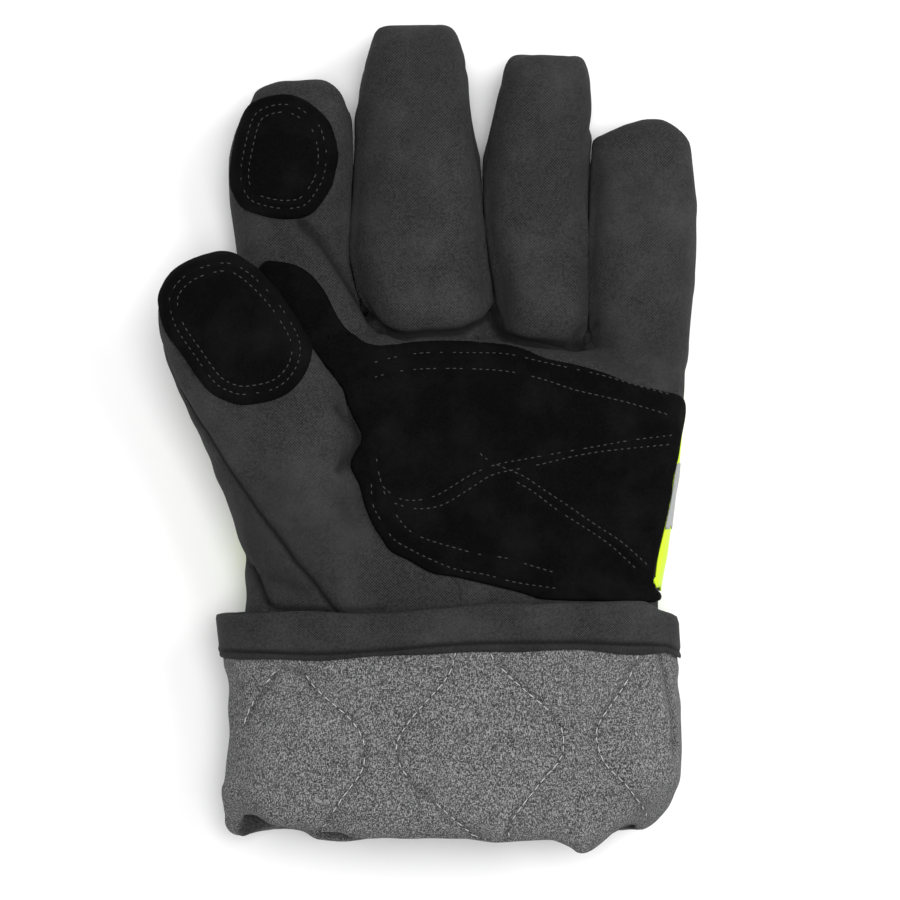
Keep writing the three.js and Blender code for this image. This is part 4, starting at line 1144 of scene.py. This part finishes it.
def tidy_labels(mesh, label, rounds=3):
    """Gives a face the label that most of its neighbours have, so that seams run clean."""
    pairs = {}
    for polygon in mesh.polygons:
        for key in polygon.edge_keys:
            pairs.setdefault(key, []).append(polygon.index)
    touching = np.array([pair for pair in pairs.values() if len(pair) == 2])
    for _ in range(rounds):
        votes = np.zeros((len(label), len(PANELS)))
        np.add.at(votes, (touching[:, 0], label[touching[:, 1]]), 1)
        np.add.at(votes, (touching[:, 1], label[touching[:, 0]]), 1)
        votes[np.arange(len(label)), label] += OWN_VOTE
        label = votes.argmax(axis=1)
    return label, touching


def heal_islands(label, touching):
    """Hands every stray island of a panel to the panel that lies round it."""
    same = touching[label[touching[:, 0]] == label[touching[:, 1]]]
    group = np.arange(len(label))
    while True:
        low = np.minimum(group[same[:, 0]], group[same[:, 1]])
        made = group.copy()
        np.minimum.at(made, same[:, 0], low)
        np.minimum.at(made, same[:, 1], low)
        made = made[made]
        if (made == group).all():
            break
        group = made
    sizes = np.bincount(group, minlength=len(label))
    for panel in range(len(PANELS)):
        groups = np.unique(group[label == panel])
        for stray in groups[sizes[groups] < sizes[groups].max()]:
            member = group == stray
            border = touching[member[touching[:, 0]] != member[touching[:, 1]]]
            outer = np.where(member[border[:, 0]], border[:, 1], border[:, 0])
            if len(outer):
                label[member] = np.bincount(label[outer]).argmax()
    return label


def panel_seams(mesh, label, touching):
    """Edges between two panels, as pairs of corners, with the two panels of each."""
    split = touching[label[touching[:, 0]] != label[touching[:, 1]]]
    keys, kinds = [], []
    for a, b in split:
        shared = set(mesh.polygons[a].vertices) & set(mesh.polygons[b].vertices)
        if len(shared) == 2:
            keys.append(tuple(shared))
            kinds.append({PANELS[label[a]], PANELS[label[b]]})
    return np.array(keys), kinds


def seam_pull(kinds):
    """How strongly a seam between two panels draws the cloth in, and how wide next to the widest."""
    if any("fourchette" in name for name in kinds):
        return 0.15, 1.0
    if any("finger_front" in name for name in kinds):
        return (1.5, 1.0) if "palm_panel" in kinds else (0.4, 1.0)
    if kinds == {"thumb_front", "thumb_back"}:
        return 0.8, 0.65
    if kinds == {"thumb_front", "palm_panel"}:
        return 0.0, 1.0
    return 0.2, 1.0


def close_gaps(mesh, points, out):
    """How far the sides of neighbouring fingers swell to touch each other."""
    tree = mesh_tree(mesh)
    swell = np.zeros(len(points))
    x, y, z = points.T
    upright = (np.abs(out[:, 2]) < 0.65) & (x > SWELL_FROM[0]) & (y > SWELL_FROM[1]) & (z < SWELL_BELOW)
    for i in np.flatnonzero(upright):
        away = Vector(out[i])
        hit = tree.ray_cast(Vector(points[i]) + away * RAY_START, away, 5 * MM)
        if hit[0] is not None and hit[1].dot(away) < -0.3:
            gap = hit[3] + RAY_START
            swell[i] = max(0.5 * gap - CLOSED_GAP, 0) * (1 - ramp(gap, 2.6 * MM, 4.6 * MM))
    return swell * ramp(z, 2 * MM, 7 * MM) * (1 - ramp(z, 19 * MM, 24 * MM))


def press_folds(points, out, folds, weight):
    """Presses folds into the cloth, and says how far each place lies in the shade of one."""
    shade = np.zeros(len(points))
    for depth, width, line in folds:
        distance, _ = to_line(points[:, :2], flow(plan_line(line), MM))
        points = points - out * (depth * MM * falloff(distance, width * MM) * weight)[:, None]
        dark = min(max(depth - 0.4, 0), 1) * 0.85
        shade = np.maximum(shade, dark * falloff(distance, 0.8 * width * MM) * weight)
    return points, shade


class GLOVE_OT_hand(Operator):
    """Shapes the hand and cuts it into its padded panels"""
    bl_idname = "glove.hand"
    bl_label = "Hand panels"

    def execute(self, context):
        sizes = context.scene.glove_sizes
        colours = context.scene.glove_colours
        forms = [finger_form(size) for size in FINGERS.values()]
        forms += [web_form(*web) for web in WEBS]
        forms.append(PALM_FORM)
        solids = [skin(form_points(form, FORM_STEP, FORM_SIDES, -FORM_INSET)) for form in forms]
        whole = joined(solids)
        hand_tree = BVHTree.FromBMesh(whole)
        whole.free()
        thumb_points = form_points(THUMB_FORM, FORM_STEP, FORM_SIDES, -FORM_INSET)
        flat = thumb_points.reshape(-1, 3)
        along = np.repeat(np.linspace(0, 1, len(thumb_points)), thumb_points.shape[1])
        clear = height_over(hand_tree, flat[:, :2]) + 0.6 * MM
        lifted = np.maximum(flat[:, 2], clear)
        flat[:, 2] = lerp(flat[:, 2], lifted, ramp(along, 0.53, 0.6))
        thumb = skin(flat.reshape(thumb_points.shape))
        thumb_tree = BVHTree.FromBMesh(thumb)
        mesh = voxel_union(solids + [thumb], sizes.fineness)
        for solid in solids + [thumb]:
            solid.free()
        edges = edge_ends(mesh)
        points = fair(spots(mesh), edges, 8)
        put(mesh, points)
        label = label_panels(face_centres(mesh), thumb_tree, hand_tree)
        label, touching = tidy_labels(mesh, label)
        label = heal_islands(label, touching)
        points = points + normals(mesh) * FORM_INSET
        put(mesh, points)
        swell = close_gaps(mesh, points, normals(mesh))
        points = points + normals(mesh) * relax(swell[:, None], edges, 5)

        seams, kinds = panel_seams(mesh, label, touching)
        draw = np.zeros((len(points), 2))
        for pair, kind in zip(seams, kinds):
            draw[pair] = np.maximum(draw[pair], seam_pull(kind))
        ends = np.bincount(seams.ravel(), minlength=len(points))
        drawn = relax(points, seams, 14, np.where(ends == 2, 0.5, 0.0))
        free = np.where(ends > 0, 0.0, 0.5)
        near = np.zeros(len(points), bool)
        near[np.unique(seams)] = True
        for _ in range(3):
            near[edges[near[edges].any(axis=1)].ravel()] = True
        points = relax(drawn, edges, 6, free * near)
        put(mesh, points)

        tree = KDTree(int((ends > 0).sum()))
        for i in np.flatnonzero(ends > 0):
            tree.insert(points[i], i)
        tree.balance()
        nearest = [tree.find(point)[1:] for point in points]
        reach = np.array([distance for _, distance in nearest])
        draw = relax(draw, seams, 8)[[index for index, _ in nearest]]
        pull, width = draw[:, 0], draw[:, 1] * sizes.seam_width
        out = normals(mesh)
        drawn_in = falloff(reach, width) * pull
        # Painted shade along the seams, strongest where they draw the cloth in
        shade = np.minimum(falloff(reach, 0.6 * width) * pull * 1.4, 1)
        dents = soft_noise(points, *BIG_DENTS) + 0.5 * soft_noise(points, *SMALL_DENTS)
        calm = 1 - falloff(reach, 3 * MM)
        amount = -sizes.seam_depth * drawn_in + sizes.wrinkle * dents * calm
        upper = ramp(out[:, 2], 0.1, 0.5)
        points = points + out * amount[:, None]
        points, fold_shade = press_folds(points, out, FOLDS, upper)
        shade = np.maximum(shade, fold_shade)
        points[:, 2] = np.maximum(points[:, 2], 0.2 * MM)
        put(mesh, points)
        wrist = PALM_START + PALM_ROWS[0][ALONG] * PALM_LENGTH
        open_end = (face_normals(mesh)[:, 1] < -0.6) & (face_centres(mesh)[:, 1] < wrist + 2.5 * MM)
        label = np.where(open_end, -1, label)
        mesh.name = HAND_FORM
        mesh.attributes.new("panel", "INT", "FACE").data.foreach_set("value", label.astype(np.int32))
        # Stores the painted shade of the seams and the folds
        set_painted_shade(mesh, shade)

        cloth = cloth_material("shell_cloth", colours.cloth, 0.8 * MM)
        for index, name in enumerate(PANELS):
            panel = keep_faces(mesh, label == index)
            piece = add_piece(name + "_cloth", to_mesh(panel, name), cloth, [name])
            wall(piece, sizes.cloth_wall)
        return {"FINISHED"}


def hand_form():
    mesh = bpy.data.meshes.get(HAND_FORM)
    if mesh is None:
        raise RuntimeError("The hand comes first")
    return mesh


def panel_labels(mesh):
    """The number of the panel that each face of the hand belongs to."""
    label = np.empty(len(mesh.polygons), dtype=np.int32)
    mesh.attributes["panel"].data.foreach_get("value", label)
    return label


def mesh_tree(mesh):
    bm = bmesh.new()
    bm.from_mesh(mesh)
    tree = BVHTree.FromBMesh(bm)
    bm.free()
    return tree


def rim_of(mesh):
    """Which vertices lie on a mesh's rim, and the rim's edges as pairs of vertices."""
    probe = bmesh.new()
    probe.from_mesh(mesh)
    on_rim = np.array([vert.is_boundary for vert in probe.verts])
    rim_edges = np.array([[vert.index for vert in edge.verts] for edge in probe.edges if edge.is_boundary])
    probe.free()
    return on_rim, rim_edges


def smooth_rim(points, free, rim_edges, tree, rounds):
    """Evens out the free part of a rim along itself and lays it back on the surface below."""
    points = relax(points, rim_edges, rounds, np.where(free, 0.5, 0.0))
    for i in np.flatnonzero(free):
        points[i] = tree.find_nearest(Vector(points[i]))[0]
    return points


def snap_rim(bm, tree, line, closed):
    """Draws the rim of a piece onto a line that runs close to it in plan, on the surface below."""
    rim = [vert for vert in bm.verts if vert.is_boundary]
    for _ in range(2):
        plan = np.array([vert.co.xy for vert in rim])
        distance, spot = to_line(plan, line, closed)
        for vert, far, (x, y) in zip(rim, distance, spot):
            if far < 2.2 * MM:
                vert.co = tree.find_nearest(Vector((x, y, vert.co.z)))[0]


def as_sheet(piece, width=None):
    """Finds how far a piece reaches across and along in plan when no width is given; nothing else is done
    with the piece.
    """
    mesh = piece.data
    if width is None:
        across, along = np.ptp(spots(mesh)[:, :2], axis=0)


def patch_mesh(outline, allowed, thickness, stitch_lines):
    """Suede cut to an outline and laid over the hand, with rounded edges and the stitching drawn in."""
    source = hand_form()
    centres = face_centres(source)
    outline = flow(outline, 0.8 * MM, closed=True)
    inner = inside(centres[:, :2], outline) & allowed(centres) & (face_normals(source)[:, 2] > 0.1)
    bm = keep_faces(source, inner)
    drop_islands(bm)
    bmesh.ops.subdivide_edges(bm, edges=bm.edges, cuts=1, use_grid_fill=True)
    below = mesh_tree(source)
    snap_rim(bm, below, outline, closed=True)
    mesh = to_mesh(bm, "patch")
    edges = edge_ends(mesh)
    points = spots(mesh)
    on_rim, rim_edges = rim_of(mesh)
    steep = normals(mesh)[:, 2] < 0.55
    points = relax(points, rim_edges, 4, np.where(on_rim, 0.5, 0.0))
    points = smooth_rim(points, on_rim & steep, rim_edges, below, 60)
    points = relax(points, edges, 8, np.where(on_rim, 0.0, 0.5))
    put(mesh, points)
    out = normals(mesh)
    finder = KDTree(int(on_rim.sum()))
    for i in np.flatnonzero(on_rim):
        finder.insert(points[i], i)
    finder.balance()
    reach = np.array([finder.find(point)[2] for point in points])
    rise = np.sqrt(np.clip(1 - (1 - np.clip(reach / (1.1 * MM), 0, 1)) ** 2, 0, 1))
    lift = thickness * lerp(0.35, 1.0, rise)
    groove = np.zeros(len(points))
    for line in stitch_lines:
        away, _ = to_line(points[:, :2], line)
        groove = np.maximum(groove, falloff(away, 0.8 * MM))
    lift = lift - 0.45 * MM * groove + 0.12 * MM * soft_noise(points, *SUEDE_DENTS)
    put(mesh, points + out * lift[:, None])
    # Painted shade in the stitch grooves
    set_painted_shade(mesh, 0.7 * groove)
    return mesh


def inset_line(outline, distance, step):
    """A closed outline drawn in by a distance."""
    line = flow(outline, step, closed=True)
    ahead = np.roll(line, -2, axis=0) - np.roll(line, 2, axis=0)
    ahead /= np.linalg.norm(ahead, axis=1)[:, None]
    side = np.stack([-ahead[:, 1], ahead[:, 0]], axis=1)
    if inside(line + side * 0.2 * MM, line).mean() < 0.5:
        side = -side
    inner = line + side * distance
    away, _ = to_line(inner, line, closed=True)
    inner = inner[away > 0.9 * distance]
    return np.concatenate([inner, inner[:1]])


def sew(name, lines, surface, pitch, length, thread, material, lift=0.1, between=False, skip=0.0):
    """Stitches along lines on the surface below, or dark dots between them that paint the shade of the needle
    holes, with a share skipped.
    """
    bm = bmesh.new()
    seeded = random.Random(STITCH_SEED)
    for line in lines:
        places = flow(line, pitch)
        for start, end in zip(places, places[1:]):
            if seeded.random() < skip:
                continue
            middle = start if between else (start + end) / 2
            hit, normal = surface.ray_cast(Vector((*middle, FAR)), Vector((0, 0, -1)))[:2]
            if hit is None:
                continue
            run = Vector((*(end - start), 0)).normalized()
            run = (run - normal * run.dot(normal)).normalized()
            side = normal.cross(run)
            sway = seeded.uniform(-0.08, 0.08)
            run, side = (run + side * sway).normalized(), (side - run * sway).normalized()
            turn = Matrix((run, side, normal)).transposed().to_4x4()
            size = Matrix.Diagonal((length * seeded.uniform(0.7, 1.1), thread, thread * 0.8, 1))
            place = Matrix.Translation(hit + normal * lift * thread) @ turn @ size
            bmesh.ops.create_uvsphere(bm, u_segments=6, v_segments=5, radius=0.5,
                                      matrix=place @ Matrix.Rotation(math.pi / 2, 4, "Y"))
    return add_piece(name, to_mesh(bm, name), material, [])


class GLOVE_OT_suede(Operator):
    """Lays the suede over the palm, the index fingertip and the thumb's tip, and sews it down"""
    bl_idname = "glove.suede"
    bl_label = "Suede patches"

    def execute(self, context):
        sizes = context.scene.glove_sizes
        colours = context.scene.glove_colours
        label = panel_labels(hand_form())
        on_palm, on_front, on_back = (
            label == PANELS.index(name) for name in ("palm_panel", "thumb_front", "thumb_back"))
        suede = suede_material(colours.suede)
        thread = thread_material("suede_thread", colours.suede_thread)

        def of_palm(centres):
            web = on_front & (centres[:, 1] < WEB_END)
            return (on_palm | web) & (centres[:, 2] > seam_height(centres[:, 1]))

        def of_thumb(centres):
            return (on_front | on_back) & (centres[:, 2] > THUMB_PATCH_FROM)

        palm_rows = [flow(plan_line(line), MM) for line in PALM_STITCHES]
        index_rows = [inset_line(index_line(INDEX_PATCH), row * MM, MM) for row in TIP_ROWS]
        thumb_rows = [inset_line(plan_line(THUMB_PATCH), row * MM, MM) for row in TIP_ROWS]
        jobs = (
            ("palm_patch", palm_line(PALM_PATCH), of_palm, palm_rows,
             ["palm_panel_cloth", "thumb_front_cloth"]),
            ("index_tip_patch", index_line(INDEX_PATCH), of_palm, index_rows, ["palm_panel_cloth"]),
            ("thumb_tip_patch", plan_line(THUMB_PATCH), of_thumb, thumb_rows, ["thumb_front_cloth"]),
        )
        for name, outline, allowed, rows, below in jobs:
            mesh = patch_mesh(outline, allowed, sizes.suede, rows)
            surface = mesh_tree(mesh)
            piece = add_piece(name + "_suede", mesh, suede, [name])
            wall(piece, sizes.suede * 0.8)
            as_sheet(piece)
            pitch = sizes.stitch_pitch
            sew(name + "_stitches", rows, surface, pitch, 0.62 * pitch, sizes.thread, thread,
                skip=0.12)
        return {"FINISHED"}


class GLOVE_OT_trim(Operator):
    """Lays the fluorescent and the silver tape round the little-finger side and the back"""
    bl_idname = "glove.trim"
    bl_label = "Trim"

    def execute(self, context):
        colours = context.scene.glove_colours
        source = hand_form()
        centres = face_centres(source)
        x, y, z = centres.T
        label = panel_labels(source)
        shell = (label == PANELS.index("palm_panel")) | (label == PANELS.index("back_panel"))
        edge = palm_line(PATCH_SIDE_EDGE)
        beside = inside(centres[:, :2], closed_right(edge))
        stripe_top = TAPE_TOP - (TAPE_WIDTH - STRIPE_WIDTH) / 2
        tree = mesh_tree(source)
        for name, top, width, lift, thick, over, slot, material, rests in (
            ("trim_yellow", TAPE_TOP, TAPE_WIDTH, 0.65, 0.45, 0.0, "fluorescent_tape",
             tape_material("yellow_tape", colours.yellow, 0.6, 0.0),
             ["palm_panel_cloth", "back_panel_cloth"]),
            ("trim_silver", stripe_top, STRIPE_WIDTH, 0.95, 0.25, 0.6, "reflective_tape",
             tape_material("silver_tape", colours.silver, 0.5, 0.2), ["trim_yellow_tape"]),
        ):
            low = z < np.where(x > PALM_CENTRE, TAPE_SIDE_HEIGHT, TAPE_EDGE_HEIGHT)
            band = (y < top) & (y > top - width) & (beside | low) & shell
            bm = keep_faces(source, band)
            drop_islands(bm)
            snap_rim(bm, tree, edge - [over * MM, 0], closed=False)
            for vert in bm.verts:
                if vert.is_boundary:
                    for limit in (top, top - width):
                        if abs(vert.co.y - limit) < 0.9 * MM:
                            vert.co.y = limit
            mesh = to_mesh(bm, name)
            points = spots(mesh)
            on_rim, rim_edges = rim_of(mesh)
            between_ends = np.abs(points[:, 1] - top + width / 2) < width / 2 - MM
            put(mesh, smooth_rim(points, on_rim & between_ends, rim_edges, tree, 40))
            points = spots(mesh) + normals(mesh) * lift * MM
            points[:, 2] = np.maximum(points[:, 2], TAPE_STACK - lift * MM)
            put(mesh, points)
            piece = add_piece(name + "_tape", mesh, material, [name])
            wall(piece, thick * MM)
            as_sheet(piece, width)
        return {"FINISHED"}


# The cuff


def cuff_ring(rows, distance, grow, turns, shift=0.0, lifted=False):
    """One ring of the cuff at a distance above its fold."""
    form = Form(
        rows, CUFF_WIDTH, CUFF_DEPTH, CUFF_THICKNESS, CUFF_SQUARENESS, None,
        lambda at: (eased(CUFF_ROWS, LIFT, at / CUFF_DEPTH) if lifted else 0 * at) * BINDING_STACK,
    )
    across, height = sections(form, np.array([distance]), turns, grow)
    across, height = across[0], height[0]
    share = min(max(1 - distance / (0.25 * CUFF_DEPTH), 0), 1)
    back, front = (eased(FOLD_SAG, k, across / CUFF_WIDTH) for k in (1, 2))
    sag = lerp(back, front, ramp(height / CUFF_THICKNESS, 0.3, 0.8)) * CUFF_DEPTH * share
    return np.stack([CUFF_CENTRE + across, FOLD_AT + distance + shift - sag, height], axis=1)


def leg_ring(place, grow, turns):
    distance = np.array([place * PALM_LENGTH])
    across, height = sections(PALM_FORM, distance, turns, grow - SHELL_WALL - PIECE_GAP - LEG_SLACK)
    x, y = palm_place(across[0], distance[0] + 0 * across[0])
    return np.stack([x, y, height[0]], axis=1)


def through_rings(rings, counts):
    """Rings on a smooth looped surface through the given ones, with a count of steps after each."""
    total = len(rings)
    made = []
    for i, count in enumerate(counts):
        a, b, c, d = (rings[(i + k) % total] for k in (-1, 0, 1, 2))
        gaps = [np.sqrt(np.linalg.norm(q - p, axis=1).mean()) for p, q in ((a, b), (b, c), (c, d))]
        ta, tb, tc, td = np.cumsum([0, *gaps])
        for t in np.linspace(tb, tc, count, endpoint=False):
            ab = a * ((tb - t) / (tb - ta)) + b * ((t - ta) / (tb - ta))
            bc = b * ((tc - t) / (tc - tb)) + c * ((t - tb) / (tc - tb))
            cd = c * ((td - t) / (td - tc)) + d * ((t - tc) / (td - tc))
            abc = ab * ((tc - t) / (tc - ta)) + bc * ((t - ta) / (tc - ta))
            bcd = bc * ((td - t) / (td - tb)) + cd * ((t - tb) / (td - tb))
            made.append(abc * ((tc - t) / (tc - tb)) + bcd * ((t - tb) / (tc - tb)))
    return np.array(made)


def hem_bow(points):
    """Lets the hem and the cloth below it stray from a straight line."""
    points = np.array(points, float)
    top = FOLD_AT + CUFF_DEPTH
    low = top - HEM_WIDTH
    upper, lower = (eased(HEM_BOW, k, points[:, 0] / MM) * MM for k in (1, 2))
    share = np.clip((points[:, 1] - low) / HEM_WIDTH, 0, 1)
    points[:, 1] += lerp(lower, upper, share) * ramp(points[:, 1], low - 20 * MM, low)
    return points


def cuff_drift(points):
    """The slow unevenness that the cuff and its binding share."""
    return 0.7 * MM * soft_noise(points, *CUFF_DENTS)


class GLOVE_OT_cuff(Operator):
    """Turns the quilted lining back over the wrist, down to its fold and up inside"""
    bl_idname = "glove.cuff"
    bl_label = "Cuff lining"

    def execute(self, context):
        sizes = context.scene.glove_sizes
        colours = context.scene.glove_colours
        turns = even_turns(CUFF_SIDES, CUFF_SQUARENESS, CUFF_WIDTH / CUFF_THICKNESS)
        outer = [row[ALONG] * CUFF_DEPTH for row in reversed(CUFF_ROWS)]
        mouth = [row[ALONG] * CUFF_DEPTH for row in MOUTH_ROWS]
        hidden = [row[ALONG] * CUFF_DEPTH for row in CUFF_ROWS if row[ALONG] > 0.12]
        rings = [cuff_ring(CUFF_ROWS, place, 0, turns, lifted=True) for place in outer]
        rings.append(cuff_ring(CUFF_ROWS, 0, -FOLD_ROLL, turns, 0.5 * MM))
        rings.append(cuff_ring(MOUTH_ROWS, mouth[0], -LINING_WALL, turns, -0.072 * CUFF_DEPTH))
        rings += [cuff_ring(MOUTH_ROWS, place, -LINING_WALL, turns) for place in mouth]
        rings += [leg_ring(place, -LINING_WALL, turns) for place in LEG_PLACES]
        rings += [leg_ring(place, 0, turns) for place in reversed(LEG_PLACES)]
        rings += [cuff_ring(MOUTH_ROWS, place, 0, turns) for place in reversed(mouth)]
        rings += [cuff_ring(CUFF_ROWS, place, -TURNED_WALL, turns, lifted=True) for place in hidden]
        counts = []
        for i, (ring, after) in enumerate(zip(rings, rings[1:] + rings[:1])):
            gap = np.linalg.norm(after - ring, axis=1).mean()
            seen = i < len(outer) + 2 + len(mouth) + 1
            counts.append(max(1, round(gap / (SEEN_STEP if seen else HIDDEN_STEP))))
        mesh = to_mesh(skin(through_rings(rings, counts), looped=True), "cuff")
        points = spots(mesh)
        out = normals(mesh)
        facing = np.abs(out[:, 2])
        valley = np.zeros(len(points))
        crease = np.zeros(len(points))
        for line in QUILTING:
            away, _ = to_line(points[:, :2], flow(plan_line(line), MM))
            valley = np.maximum(valley, falloff(away, 5.5 * MM))
            crease = np.maximum(crease, falloff(away, 0.9 * MM))
        hem = FOLD_AT + CUFF_DEPTH - HEM_WIDTH
        seen = ramp(facing, 0.15, 0.5) * (1 - ramp(points[:, 1], hem - 5 * MM, hem + 1 * MM))
        amount = -sizes.quilt_depth * (0.75 * valley + 0.45 * crease) * seen
        dents = 0.35 * MM * soft_noise(points, *LINING_DENTS)
        amount += dents * (1 - ramp(points[:, 1], hem - 4 * MM, hem))
        amount += cuff_drift(points)
        middle = points[:, (0, 2)] - [CUFF_CENTRE, CUFF_THICKNESS / 2]
        inward = ramp(-(out[:, (0, 2)] * middle).sum(axis=1) / np.linalg.norm(middle, axis=1), 0.1, 0.6)
        both_faces = out * (1 - 2 * inward)[:, None]
        points = points + both_faces * amount[:, None]
        high = points[:, 2] > CUFF_THICKNESS / 3
        points, fold_shade = press_folds(points, both_faces, CUFF_FOLDS, high)
        # Painted shade inside the cuff's mouth, on faces that turn inwards
        mouth_shade = inward * (1 - ramp(points[:, 1], FOLD_AT + 20 * MM, FOLD_AT + 40 * MM))
        points = hem_bow(points)
        points[:, 2] = np.maximum(points[:, 2], 0.1 * MM)
        put(mesh, points)
        # Painted shade along the quilting creases, in the pressed folds and inside the mouth
        set_painted_shade(mesh, np.maximum.reduce([0.42 * crease * seen, fold_shade, 0.8 * mouth_shade]))
        surface = mesh_tree(mesh)
        add_piece("cuff_lining_cloth", mesh, lining_material(colours), ["cuff_lining"])
        thread = thread_material("quilting_thread", colours.quilt_thread)
        lines = [flow(plan_line(line), MM) for line in QUILTING]
        pitch = 2.6 * MM
        sew("quilting_stitches", lines, surface, pitch, 0.85 * pitch, 0.8 * sizes.thread, thread,
            skip=0.16)
        # Dark dots sunk between the stitches paint the shade in the needle holes, in the black thread's
        # colour
        dark = thread_material("black_thread", colours.thread)
        sew("quilting_hole_shadows", lines, surface, pitch, 0.5 * MM, 0.45 * MM, dark, -0.1, between=True,
            skip=0.5)
        return {"FINISHED"}


class GLOVE_OT_hem(Operator):
    """Wraps the binding over the hem of the turned-back cuff and sews it"""
    bl_idname = "glove.hem"
    bl_label = "Hem binding"

    def execute(self, context):
        sizes = context.scene.glove_sizes
        colours = context.scene.glove_colours
        turns = even_turns(CUFF_SIDES, CUFF_SQUARENESS, CUFF_WIDTH / CUFF_THICKNESS)
        profile = (
            (BINDING_STACK, -HEM_WIDTH), (BINDING_STACK, -BINDING_WALL), (PIECE_GAP, BINDING_STACK),
            (-TURNED_WALL - PIECE_GAP, BINDING_STACK), (-TURNED_WALL - BINDING_STACK, -BINDING_WALL),
            (-TURNED_WALL - BINDING_STACK, -HEM_INSIDE), (-TURNED_WALL - PIECE_GAP, -HEM_INSIDE),
            (-TURNED_WALL - PIECE_GAP, PIECE_GAP), (PIECE_GAP, PIECE_GAP), (PIECE_GAP, -HEM_WIDTH),
        )
        rings = [cuff_ring(CUFF_ROWS, CUFF_DEPTH + up, out, turns, lifted=True) for out, up in profile]
        made = []
        for ring, after in zip(rings, rings[1:] + rings[:1]):
            gap = np.linalg.norm(after - ring, axis=1).mean()
            for share in np.linspace(0, 1, max(1, round(gap / BINDING_STEP)), endpoint=False):
                made.append(lerp(ring, after, share))
        mesh = to_mesh(skin(np.array(made), looped=True), "hem")
        points = relax(spots(mesh), edge_ends(mesh), 2, 0.35)
        put(mesh, points)
        out = normals(mesh)
        stitch_y = FOLD_AT + CUFF_DEPTH - HEM_WIDTH + 2.2 * MM
        groove = falloff(points[:, 1] - stitch_y, 0.8 * MM)
        # Painted shadow over the band below its stitch line
        below = ramp(points[:, 1], stitch_y, stitch_y - 0.6 * MM)
        points = points + out * (cuff_drift(points) - 0.35 * MM * groove)[:, None]
        points = hem_bow(points)
        points[:, 2] = np.maximum(points[:, 2], 0.05 * MM)
        put(mesh, points)
        # Painted shade in the stitch groove, and the painted shadow below it
        set_painted_shade(mesh, np.maximum(groove, 0.4 * below))
        surface = mesh_tree(mesh)
        binding = cloth_material("binding_cloth", colours.binding, 0.7 * MM)
        add_piece("hem_band_cloth", mesh, binding, ["hem_band"])
        thread = thread_material("black_thread", colours.thread)
        line = hem_bow([(x, stitch_y) for x in np.linspace(-57 * MM, 69 * MM, 60)])
        pitch = sizes.stitch_pitch
        sew("hem_stitches", [line], surface, pitch, 0.8 * pitch, 1.2 * sizes.thread, thread)
        return {"FINISHED"}


# Stage


class GLOVE_OT_stage(Operator):
    """Sets the pale floor, the soft lights and the camera above the palm"""
    bl_idname = "glove.stage"
    bl_label = "Stage"

    def execute(self, context):
        scene = context.scene
        colours = scene.glove_colours
        bm = bmesh.new()
        bmesh.ops.create_grid(bm, x_segments=1, y_segments=1, size=3)
        floor = bpy.data.objects.new("floor", to_mesh(bm, "floor"))
        scene.collection.objects.link(floor)
        material, _, shader = new_material("pale_floor", 0.9, specular=0.1)
        shader.inputs["Base Color"].default_value = rgba(colours.floor)
        floor.data.materials.append(material)

        camera = bpy.data.objects.new("camera", bpy.data.cameras.new("camera"))
        camera.data.lens = 180
        camera.data.sensor_width = 36
        camera.data.clip_end = 20
        camera.location = (0.0067, -0.0036, 1.285)
        scene.collection.objects.link(camera)
        scene.camera = camera

        world = bpy.data.worlds.new("studio")
        world.use_nodes = True
        background = world.node_tree.nodes["Background"]
        background.inputs["Color"].default_value = (1, 1, 1, 1)
        background.inputs["Strength"].default_value = 0.55
        scene.world = world
        scene.view_settings.view_transform = "Standard"
        for name, place, size, energy in (
            ("key_light", (1.0, 0.4, 1.2), 0.8, 11),
            ("top_light", (0.15, 0.1, 2.0), 0.9, 25),
        ):
            light = bpy.data.objects.new(name, bpy.data.lights.new(name, "AREA"))
            light.data.size = size
            light.data.energy = energy
            light.location = place
            light.rotation_euler = (-Vector(place)).to_track_quat("-Z", "Y").to_euler()
            scene.collection.objects.link(light)
        return {"FINISHED"}


class GLOVE_PT_panel(Panel):
    bl_idname = "GLOVE_PT_panel"
    bl_label = "Firefighter glove"
    bl_space_type = "VIEW_3D"
    bl_region_type = "UI"
    bl_category = "Glove"

    def draw(self, context):
        for step in STEPS:
            self.layout.operator(step.bl_idname)
        for group in (context.scene.glove_sizes, context.scene.glove_colours):
            box = self.layout.box()
            for label in group.__annotations__:
                box.prop(group, label)


STEPS = (GLOVE_OT_stage, GLOVE_OT_hand, GLOVE_OT_suede, GLOVE_OT_trim, GLOVE_OT_cuff, GLOVE_OT_hem)
CLASSES = (GloveSizes, GloveColours, *STEPS, GLOVE_PT_panel)


def register():
    for cls in CLASSES:
        bpy.utils.register_class(cls)
    bpy.types.Scene.glove_sizes = PointerProperty(type=GloveSizes)
    bpy.types.Scene.glove_colours = PointerProperty(type=GloveColours)


def unregister():
    del bpy.types.Scene.glove_colours
    del bpy.types.Scene.glove_sizes
    for cls in reversed(CLASSES):
        bpy.utils.unregister_class(cls)


def main():
    register()
    bpy.ops.glove.stage()
    bpy.ops.glove.hand()
    bpy.ops.glove.suede()
    bpy.ops.glove.trim()
    bpy.ops.glove.cuff()
    bpy.ops.glove.hem()
    bpy.data.meshes.remove(hand_form())


if __name__ == "__main__":
    main()
